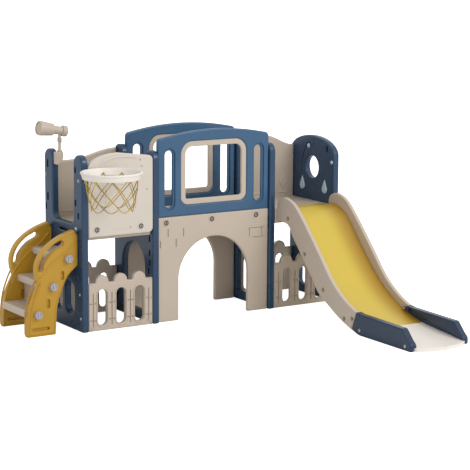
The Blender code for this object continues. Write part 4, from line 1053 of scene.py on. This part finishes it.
class PLAYSET_OT_backboard(Operator):
    """Build the hoop backboard with its crown rib, target outline and foot rib"""

    bl_idname = "playset.backboard"
    bl_label = "Backboard"

    def execute(self, context):
        mould = context.scene.playset_mould
        node = "hoop_backboard"
        low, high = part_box(node)
        shape = moulding(node, 1, mould.panel_edge)
        middle = (low.x + high.x) / 2
        crown = [(middle + aside, up) for aside, up in BOARD_CROWN]
        target = [(middle + aside, up, 0.02) for aside, up in BOARD_TARGET]
        holes = [capsule(across, up, 0.011, 0.0115) for across, up in BOARD_HOLES]
        shape = carve_slots(shape, 1, holes, low.y, MARK_DEPTH, 1)
        radius = mould.rib_radius
        add_ribs(shape, 1, low.y, [smooth_path(crown)], radius)
        add_ribs(shape, 1, low.y, [filleted(target, closed=True)], radius * 0.65, closed=True)
        add_ribs(shape, 1, low.y, [BOARD_FOOT], radius * 0.5)
        finish_node_piece(node, shape, look="pale_beige")
        return {"FINISHED"}


class PLAYSET_OT_tower_guards(Operator):
    """Build the rear guards of both towers, with the raised boss on the right one"""

    bl_idname = "playset.tower_guards"
    bl_label = "Tower guards"

    def execute(self, context):
        mould = context.scene.playset_mould
        for node in ("left_rear_guard", "right_rear_guard"):
            low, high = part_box(node)
            shape = moulding(node, 1, mould.panel_edge)
            middle = (low.x + high.x) / 2
            if node == "right_rear_guard":
                boss = filleted(TOWER_BOSS, closed=True)
                add_slab(shape, [boss], 1, low.y - 0.006, low.y + 0.012, 0.005)
            rib = [
                (low.x + GUARD_RIB_INSET, GUARD_RIB_HEIGHT), (middle, GUARD_RIB_HEIGHT),
                (high.x - GUARD_RIB_INSET, GUARD_RIB_HEIGHT),
            ]
            for face in (low.y, high.y):
                add_ribs(shape, 1, face, [rib], mould.rib_radius * 0.8)
            finish_node_piece(node, shape)
        return {"FINISHED"}


class PLAYSET_OT_fences(Operator):
    """Build the four picket fences with slot rims, seams and brick lines"""

    bl_idname = "playset.fences"
    bl_label = "Fences"

    def execute(self, context):
        mould = context.scene.playset_mould
        for node in FENCES:
            low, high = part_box(node)
            middle = (low.x + high.x) / 2
            face, way = (low.y, 1) if "front" in node else (high.y, -1)
            shape = moulding(node, 1, mould.panel_edge)
            seams = [middle + share * PICKET_PITCH for share in (-1.5, -0.5, 0.5, 1.5)]
            lines = [capsule(seam, *PICKET_SEAM) for seam in seams]
            for seam in seams:
                for aside, up in PICKET_BRICKS:
                    lines.append(capsule(seam + aside, up, *BRICK_SIZE))
            shape = carve_slots(shape, 1, lines, face, SEAM_DEPTH, way)
            slots = [middle + step * PICKET_PITCH for step in (-1, 0, 1)]
            rims = [capsule(slot, *PICKET_SLOT, 10) for slot in slots]
            add_ribs(shape, 1, face, rims, mould.rib_radius * 0.85, closed=True)
            finish_node_piece(node, shape)
        return {"FINISHED"}


class PLAYSET_OT_bridge(Operator):
    """Build the bridge guards with recessed slots, the window trims and the arch panels"""

    bl_idname = "playset.bridge"
    bl_label = "Bridge"

    def execute(self, context):
        mould = context.scene.playset_mould
        for side in ("front", "rear"):
            node = f"bridge_{side}_guard"
            low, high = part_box(node)
            shape = moulding(node, 1, mould.panel_edge)
            middle = (low.x + high.x) / 2
            bays = [capsule(middle + way * BAY_ASIDE, *BAY, 12) for way in (-1, 1)]
            for face, way in ((low.y, 1), (high.y, -1)):
                shape = carve_slots(shape, 1, bays, face, BAY_DEPTH, way)
            finish_node_piece(node, shape)
            trim = f"{side}_window_trim"
            finish_node_piece(trim, moulding(trim, 1, mould.sheet_edge))

            node = f"bridge_{side}_arch"
            low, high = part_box(node)
            shape = moulding(node, 1, mould.panel_edge)
            face, way = (low.y, 1) if side == "front" else (high.y, -1)
            lines = [capsule(*mark) for mark in ARCH_MARKS]
            shape = carve_slots(shape, 1, lines, face, MARK_DEPTH, way)
            finish_node_piece(node, shape)
        return {"FINISHED"}


class PLAYSET_OT_decks(Operator):
    """Build the three decks as soft-edged boxes"""

    bl_idname = "playset.decks"
    bl_label = "Decks"

    def execute(self, context):
        mould = context.scene.playset_mould
        for node in ("left_deck", "bridge_deck", "right_deck"):
            low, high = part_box(node)
            shape = bmesh.new()
            add_box(shape, (low + high) / 2, high - low, mould.sheet_edge)
            finish_node_piece(node, shape)
        return {"FINISHED"}


class PLAYSET_OT_stairs(Operator):
    """Build the stair sides with their ribs and recesses, the treads and the lock caps"""

    bl_idname = "playset.stairs"
    bl_label = "Stairs"

    def execute(self, context):
        mould = context.scene.playset_mould
        for node in ("stair_front_side", "stair_rear_side"):
            low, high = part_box(node)
            shape = moulding(node, 1, mould.panel_edge)
            slots = [capsule(*slot) for slot in STAIR_SLOTS]
            for face, way in ((low.y, 1), (high.y, -1)):
                shape = carve_slots(shape, 1, slots, face, mould.recess_depth, way)
            rib = smooth_path(STAIR_RIB)
            outer = max(rim_loops(node, 1, wall_level(node, 1, -1)), key=len)
            border = inset_loop(softened(thinned(outer)), STAIR_BORDER)
            border = thinned(border, STAIR_BORDER_GAP)
            for face in (low.y, high.y):
                add_ribs(shape, 1, face, [rib], mould.rib_radius)
                add_ribs(shape, 1, face, [border], mould.rib_radius * 0.55, closed=True)
            finish_node_piece(node, shape)
        for number in (1, 2, 3):
            node = f"stair_step_{number}"
            finish_node_piece(node, moulding(node, 1, mould.sheet_edge))
            for side, direction in (("front", FRONT), ("rear", REAR)):
                self.build_cap(f"stair_cap_{side}_{number}", direction)
        return {"FINISHED"}

    def build_cap(self, node, direction):
        """Lock cap with a rounded rim, a dished face and a grip bar across it."""
        low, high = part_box(node)
        centre = (low + high) / 2
        radius = (high.x - low.x) / 2
        front = low.y if direction == FRONT else high.y
        face = Vector((centre.x, front, centre.z))
        shape = bmesh.new()
        profile = filleted(
            [
                (0.0, -0.005, 0.0), (radius - 0.009, -0.005, 0.002), (radius - 0.006, 0.0, 0.002),
                (radius, 0.0, 0.005), (radius, -0.0237, 0.001), (0.009, -0.0237, 0.0),
                (0.009, -0.066, 0.0), (0.0, -0.066, 0.0),
            ]
        )
        add_turned(shape, profile, facing(face, direction), steps=36)
        add_box(shape, face - direction * 0.0042, (0.011, 0.0082, 2 * radius - 0.014), 0.0022)
        finish_node_piece(node, shape)


class PLAYSET_OT_slide(Operator):
    """Build the chute, the run-out tray, the side walls and the bumpers of the slide"""

    bl_idname = "playset.slide"
    bl_label = "Slide"

    def execute(self, context):
        mould = context.scene.playset_mould
        for node in ("slide_chute", "slide_run_out"):
            shape = merged_copy(node)
            turn, any_shape = math.radians(12), math.radians(180)
            bmesh.ops.join_triangles(
                shape, faces=shape.faces, angle_face_threshold=turn, angle_shape_threshold=any_shape
            )
            finish_node_piece(node, shape, 35.0)
        wall_screws = bmesh.new()
        bumper_screws = bmesh.new()
        for side, way in (("left", 1), ("right", -1)):
            self.build_wall(side, way, mould, wall_screws)
            self.build_bumper(side, way, mould, bumper_screws)
        finish_fasteners("slide_wall_screws", wall_screws, "sunk_screw")
        finish_fasteners("slide_bumper_screws", bumper_screws)
        return {"FINISHED"}

    def build_wall(self, side, way, mould, screws):
        """Side wall with rounded rims and screws sunk into round wells on its outer face."""
        node = f"slide_{side}_wall"
        low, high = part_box(node)
        face = low.x if way > 0 else high.x
        shape = moulding(node, 0, 0.006)
        wells = [capsule(across, up, *WELL_SIZE) for across, up in SLIDE_WALL_SCREWS]
        shape = carve_slots(shape, 0, wells, face, SCREW_WELL, way)
        for across, up in SLIDE_WALL_SCREWS:
            place = (face + way * SCREW_WELL, across, up)
            add_bolt(screws, place, (-way, 0.0, 0.0), mould.screw_radius, 0.004)
        finish_node_piece(node, shape)

    def build_bumper(self, side, way, mould, screws):
        """Bumper made of an outer and an inner slab with rounded rims and a tab over the wall."""
        node = f"slide_{side}_bumper"
        low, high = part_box(node)
        outer, inner = (low.x, high.x) if way > 0 else (high.x, low.x)
        shape = bmesh.new()
        outline = softened(thinned(rim_loops(node, 0, wall_level(node, 0, -way))[0]))
        add_slab(shape, [outline], 0, outer, outer + way * BUMPER_WALL, 0.007)
        for loop in rim_loops(node, 0, wall_level(node, 0, way)):
            add_slab(shape, [softened(thinned(loop))], 0, outer + way * BUMPER_LAP, inner, 0.006)
        radius = (TAB_HIGH - TAB_LOW) / 2 - 0.0005
        tab = [
            (TAB_REAR, TAB_LOW, 0.0), (TAB_REAR, TAB_HIGH, 0.0), (TAB_FRONT, TAB_HIGH, radius),
            (TAB_FRONT, TAB_LOW, radius),
        ]
        add_slab(shape, [filleted(tab, closed=True)], 0, outer + way * TAB_START, inner, 0.003)
        place = (inner, TAB_SCREW, (TAB_LOW + TAB_HIGH) / 2)
        add_bolt(screws, place, (way, 0.0, 0.0), 0.008, 0.003)
        for across, up in BUMPER_SCREWS:
            place = (outer + way * 0.0005, across, up)
            add_bolt(screws, place, (-way, 0.0, 0.0), mould.screw_radius, 0.003)
        # The bumpers take the deeper blue: painted shade
        finish_node_piece(node, shape, look="bumper_blue")


class PLAYSET_OT_hoop(Operator):
    """Build the basketball ring with its rolled rim, the bracket and the knotted net"""

    bl_idname = "playset.hoop"
    bl_label = "Hoop"

    def execute(self, context):
        low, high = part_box("hoop_ring")
        centre = (low + high) / 2
        outer = (high.x - low.x) / 2
        half = (high.z - low.z) / 2
        profile = filleted(
            [
                (outer - 0.014, half - 0.001, 0.003), (outer - 0.008, half, 0.003),
                (outer - 0.002, half - 0.001, 0.003), (outer, half - 0.006, 0.004),
                (outer - 0.002, half - 0.013, 0.003), (outer - 0.0055, half - 0.014, 0.002),
                (outer - 0.0125, -half - 0.009, 0.002), (outer - 0.0245, -half - 0.009, 0.002),
                (outer - 0.0165, half - 0.009, 0.003),
            ],
            closed=True,
        )
        ring = bmesh.new()
        add_turned(ring, profile, Matrix.Translation(centre), steps=96, closed=True)
        finish_node_piece("hoop_ring", ring)
        finish_node_piece("hoop_bracket", moulding("hoop_bracket", 0, 0.003))
        self.build_net(context.scene.playset_net, centre)
        return {"FINISHED"}

    def build_net(self, net, centre):
        """Cords that go down one way, turn at the foot and come up the other way, with knots."""
        low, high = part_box("hoop_net")
        top_radius = (high.x - low.x) / 2 - net.cord / 2
        top = high.z - net.cord / 2
        drop = high.z - low.z - net.cord
        step = 2 * math.pi / net.loops

        def place(run, turn):
            share = self.drop_share(run)
            angle = step * turn
            radius = top_radius + (NET_FOOT_RADIUS - top_radius) * share**1.5
            radius += 0.003 * math.sin(3 * angle + 4 * share)
            across = centre.x + radius * math.cos(angle)
            along = centre.y + radius * math.sin(angle)
            return Vector((across, along, top - drop * share))

        shape = bmesh.new()
        runs = [2 * part / NET_PARTS for part in range(NET_PARTS + 1)]
        loops = range(net.loops)
        paths = [[place(run, loop + 2 * run) for run in runs] for loop in loops]
        add_tubes(shape, paths, net.cord / 2)
        for loop in loops:
            for crossing in (1, 2, 3, 0):
                knot = Matrix.Translation(place(crossing / 4, loop + crossing / 2))
                radius = net.cord * KNOT_SHARE
                bmesh.ops.create_icosphere(shape, subdivisions=2, radius=radius, matrix=knot)
        slot, body = slot_of["hoop_net"], body_of["hoop_net"]
        finish_piece("hoop_net_cords", shape, slot, body, ["hoop_net"], 80.0)

    def drop_share(self, run):
        """How far down the net a cord is, for a run from 0 over 1 at the foot of its loop to 2."""
        turn = math.sqrt(NET_SOFTNESS)
        raised = math.sqrt((1.0 - run) ** 2 + NET_SOFTNESS) - turn
        return max(1.0 - raised / (math.sqrt(1.0 + NET_SOFTNESS) - turn), 0.0)


class PLAYSET_OT_telescope(Operator):
    """Build the telescope: clamp, swivel fork, pin, barrel with lens and eyepiece wheel"""

    bl_idname = "playset.telescope"
    bl_label = "Telescope"

    def execute(self, context):
        pan = frame["joints"][0]["pos_m"]
        tilt = frame["joints"][1]["pos_m"]
        finish_node_piece("telescope_base", moulding("telescope_base", 1, 0.004))
        stem = Vector((tilt[0], tilt[1], pan[2]))
        fork = bmesh.new()
        add_turned(fork, filleted(FORK_STEM), Matrix.Translation(stem))
        half = 0.009
        top = tilt[2] - pan[2] + half
        ear = [(-half, 0.058, 0.004), (half, 0.058, 0.004), (half, top, half), (-half, top, half)]
        outline = filleted(ear, closed=True)
        outline = [Vector((stem.x + point[0], stem.z + point[1])) for point in outline]
        for way in (-1, 1):
            near, far = (stem.y + way * side for side in EAR_SIDES)
            add_slab(fork, [outline], 1, near, far, 0.0015)
        add_box(fork, stem + UP * 0.0615, (0.018, 0.0268, 0.007), 0.0015)
        finish_node_piece("telescope_fork", fork)

        pin = bmesh.new()
        add_turned(pin, filleted(PIN_PROFILE), facing(tilt, REAR), steps=20)
        finish_node_piece("telescope_pin", pin)

        raised = math.radians(9.0)
        tube = Matrix.Translation(Vector(tilt)) @ Matrix.Rotation(raised, 4, "Y")
        along = tube @ Matrix.Translation((0.0, 0.0, 0.047)) @ Matrix.Rotation(-math.pi / 2, 4, "Y")
        barrel = bmesh.new()
        add_turned(barrel, filleted(BARREL_PROFILE), along, steps=48)
        lug = filleted(BARREL_LUG, closed=True)
        part = bmesh.new()
        add_slab(part, [lug], 1, -0.006, 0.006, 0.0015)
        bmesh.ops.transform(part, matrix=tube, verts=part.verts)
        join_shape(barrel, part)
        finish_node_piece("telescope_barrel", barrel)

        wheel = bmesh.new()
        back = along @ Matrix.Translation((0.0, 0.0, -0.006))
        add_turned(wheel, filleted(WHEEL_PROFILE), back, steps=48)
        for step in range(WHEEL_RIDGES):
            turn = Matrix.Rotation(2 * math.pi * step / WHEEL_RIDGES, 4, "Z")
            grip = back @ turn @ Matrix.Translation((0.0325, 0.0, -0.0165))
            ridge = bmesh.new()
            add_box(ridge, (0.0, 0.0, 0.0), (0.0022, 0.004, 0.02), 0.0008, segments=1)
            bmesh.ops.transform(ridge, matrix=grip, verts=ridge.verts)
            join_shape(wheel, ridge)
        finish_node_piece("telescope_eyepiece", wheel)
        return {"FINISHED"}


class PLAYSET_OT_screw_caps(Operator):
    """Build the screw caps that hold the backboard and the front arch panel"""

    bl_idname = "playset.screw_caps"
    bl_label = "Screw caps"

    def execute(self, context):
        groove_shade_discs = bmesh.new()
        for node in SCREW_CAPS:
            low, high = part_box(node)
            centre = (low + high) / 2
            radius = (high.x - low.x) / 2
            face = Vector((centre.x, low.y, centre.z))
            profile = filleted(
                [
                    (0.0, 0.0, 0.0), (radius - 0.0115, 0.0, 0.0006), (radius - 0.011, -0.0022, 0.0),
                    (radius - 0.0045, -0.0022, 0.0), (radius - 0.004, 0.0, 0.0006),
                    (radius, 0.0, 0.0012), (radius, -0.0027, 0.0), (0.005, -0.0027, 0.0),
                    (0.005, -0.028, 0.0), (0.0, -0.028, 0.0),
                ]
            )
            shape = bmesh.new()
            add_turned(shape, profile, facing(face, FRONT), steps=32)
            cutter = bmesh.new()
            size = radius - 0.0115
            add_box(cutter, face, (0.006, 0.008, 1.7 * size), 0.0)
            add_box(cutter, face, (1.3 * size, 0.008, 0.0055), 0.0)
            look = "pale_beige" if "backboard" in node else "beige_plastic"
            finish_node_piece(node, carved(shape, cutter), look=look)
            # Dark discs under the grooves carry painted shade: they darken the grooves as their shadow would
            rim, top, bottom = radius - 0.0025, -0.0018, -0.0026
            floor = [(0.0, top), (rim, top), (rim, bottom), (0.0, bottom)]
            add_turned(groove_shade_discs, floor, facing(face, FRONT), steps=32)
        finish_fasteners("screw_cap_grooves", groove_shade_discs, "groove_floor")
        return {"FINISHED"}


class PLAYSET_OT_stage(Operator):
    """Build the camera, the soft studio light, the pale floor and the white surroundings"""

    bl_idname = "playset.stage"
    bl_label = "Stage"

    def execute(self, context):
        stage = context.scene.playset_stage
        scene = context.scene
        scene.view_settings.view_transform = "Standard"

        lens = bpy.data.cameras.new("photo_camera")
        lens.sensor_width = 36.0
        lens.lens = CAMERA_LENS
        lens.clip_end = 500.0
        camera = add_object("photo_camera", lens)
        yaw, pitch, roll = (math.radians(value) for value in CAMERA_TURNS)
        place = Matrix.Translation(CAMERA_PLACE) @ Matrix.Rotation(-yaw, 4, "Z")
        place = place @ Matrix.Rotation(math.pi / 2 - pitch, 4, "X")
        camera.matrix_world = place @ Matrix.Rotation(roll, 4, "Z")
        scene.camera = camera

        for name, place in LAMPS.items():
            light = bpy.data.lights.new(f"{name}_lamp", "AREA")
            light.shape = "SQUARE"
            light.size = LAMP_SIZE
            light.energy = getattr(stage, f"{name}_power")
            lamp = add_object(f"{name}_lamp", light)
            lamp.location = place
            aim = LAMP_TARGET - Vector(place)
            lamp.rotation_euler = aim.to_track_quat("-Z", "Y").to_euler()

        self.build_floor(stage)
        self.build_surroundings(scene, stage)
        return {"FINISHED"}

    def build_floor(self, stage):
        """Pale floor that reads white to the camera and keeps the object's soft shadow."""
        shape = bmesh.new()
        bmesh.ops.create_grid(shape, x_segments=1, y_segments=1, size=stage.floor_size / 2)
        bmesh.ops.translate(shape, vec=(0.0, 0.0, -0.0005), verts=shape.verts)
        mesh = mesh_of("studio_floor", shape)
        floor = add_object("studio_floor", mesh)
        material, nodes, link, shader = new_material("studio_floor")
        values = {
            "Base Color": (0.86, 0.86, 0.86, 1.0),
            "Roughness": 0.9,
            "Specular IOR Level": 0.0,
            "Emission Color": (1.0, 1.0, 1.0, 1.0),
        }
        set_inputs(shader, values)
        path = nodes.new("ShaderNodeLightPath")
        lift = nodes.new("ShaderNodeMath")
        lift.operation = "MULTIPLY"
        lift.inputs[1].default_value = 0.9
        link(path.outputs["Is Camera Ray"], lift.inputs[0])
        link(lift.outputs[0], shader.inputs["Emission Strength"])
        mesh.materials.append(material)

    def build_surroundings(self, scene, stage):
        """White to the camera, in gloss and through glass, and an even soft light on the object."""
        world = bpy.data.worlds.new("studio")
        world.use_nodes = True
        scene.world = world
        nodes = world.node_tree.nodes
        link = world.node_tree.links.new
        background = nodes["Background"]
        background.inputs["Color"].default_value = (1.0, 1.0, 1.0, 1.0)
        rays = nodes.new("ShaderNodeLightPath").outputs
        seen = rays["Is Camera Ray"]
        for kind in ("Is Transmission Ray", "Is Glossy Ray"):
            either = nodes.new("ShaderNodeMath")
            either.operation = "MAXIMUM"
            link(seen, either.inputs[0])
            link(rays[kind], either.inputs[1])
            seen = either.outputs[0]
        strength = nodes.new("ShaderNodeMapRange")
        set_inputs(strength, {"To Min": stage.sky, "To Max": 1.0})
        link(seen, strength.inputs["Value"])
        link(strength.outputs["Result"], background.inputs["Strength"])


PIECE_OPERATORS = [
    PLAYSET_OT_stage, PLAYSET_OT_frames, PLAYSET_OT_backboard, PLAYSET_OT_tower_guards,
    PLAYSET_OT_fences, PLAYSET_OT_bridge, PLAYSET_OT_decks, PLAYSET_OT_stairs, PLAYSET_OT_slide,
    PLAYSET_OT_hoop, PLAYSET_OT_telescope, PLAYSET_OT_screw_caps,
]


class PLAYSET_PT_panel(Panel):
    """Lists the pieces of the play set and their settings"""

    bl_label = "Play set"
    bl_idname = "PLAYSET_PT_panel"
    bl_space_type = "VIEW_3D"
    bl_region_type = "UI"
    bl_category = "Play set"

    def draw(self, context):
        layout = self.layout
        for operator in PIECE_OPERATORS:
            layout.operator(operator.bl_idname)
        for group in SETTINGS:
            box = layout.box()
            settings = getattr(context.scene, group)
            for name in settings.__annotations__:
                box.prop(settings, name)


SETTINGS = {
    "playset_finish": FinishSettings,
    "playset_mould": MouldSettings,
    "playset_net": NetSettings,
    "playset_stage": StageSettings,
}
CLASSES = [*SETTINGS.values(), *PIECE_OPERATORS, PLAYSET_PT_panel]


def register():
    for entry in CLASSES:
        bpy.utils.register_class(entry)
    for name, group in SETTINGS.items():
        setattr(bpy.types.Scene, name, PointerProperty(type=group))


def unregister():
    for name in SETTINGS:
        delattr(bpy.types.Scene, name)
    for entry in reversed(CLASSES):
        bpy.utils.unregister_class(entry)


def main():
    register()
    bpy.ops.playset.stage()
    bpy.ops.playset.frames()
    bpy.ops.playset.backboard()
    bpy.ops.playset.tower_guards()
    bpy.ops.playset.fences()
    bpy.ops.playset.bridge()
    bpy.ops.playset.decks()
    bpy.ops.playset.stairs()
    bpy.ops.playset.slide()
    bpy.ops.playset.hoop()
    bpy.ops.playset.telescope()
    bpy.ops.playset.screw_caps()


if __name__ == "__main__":
    main()
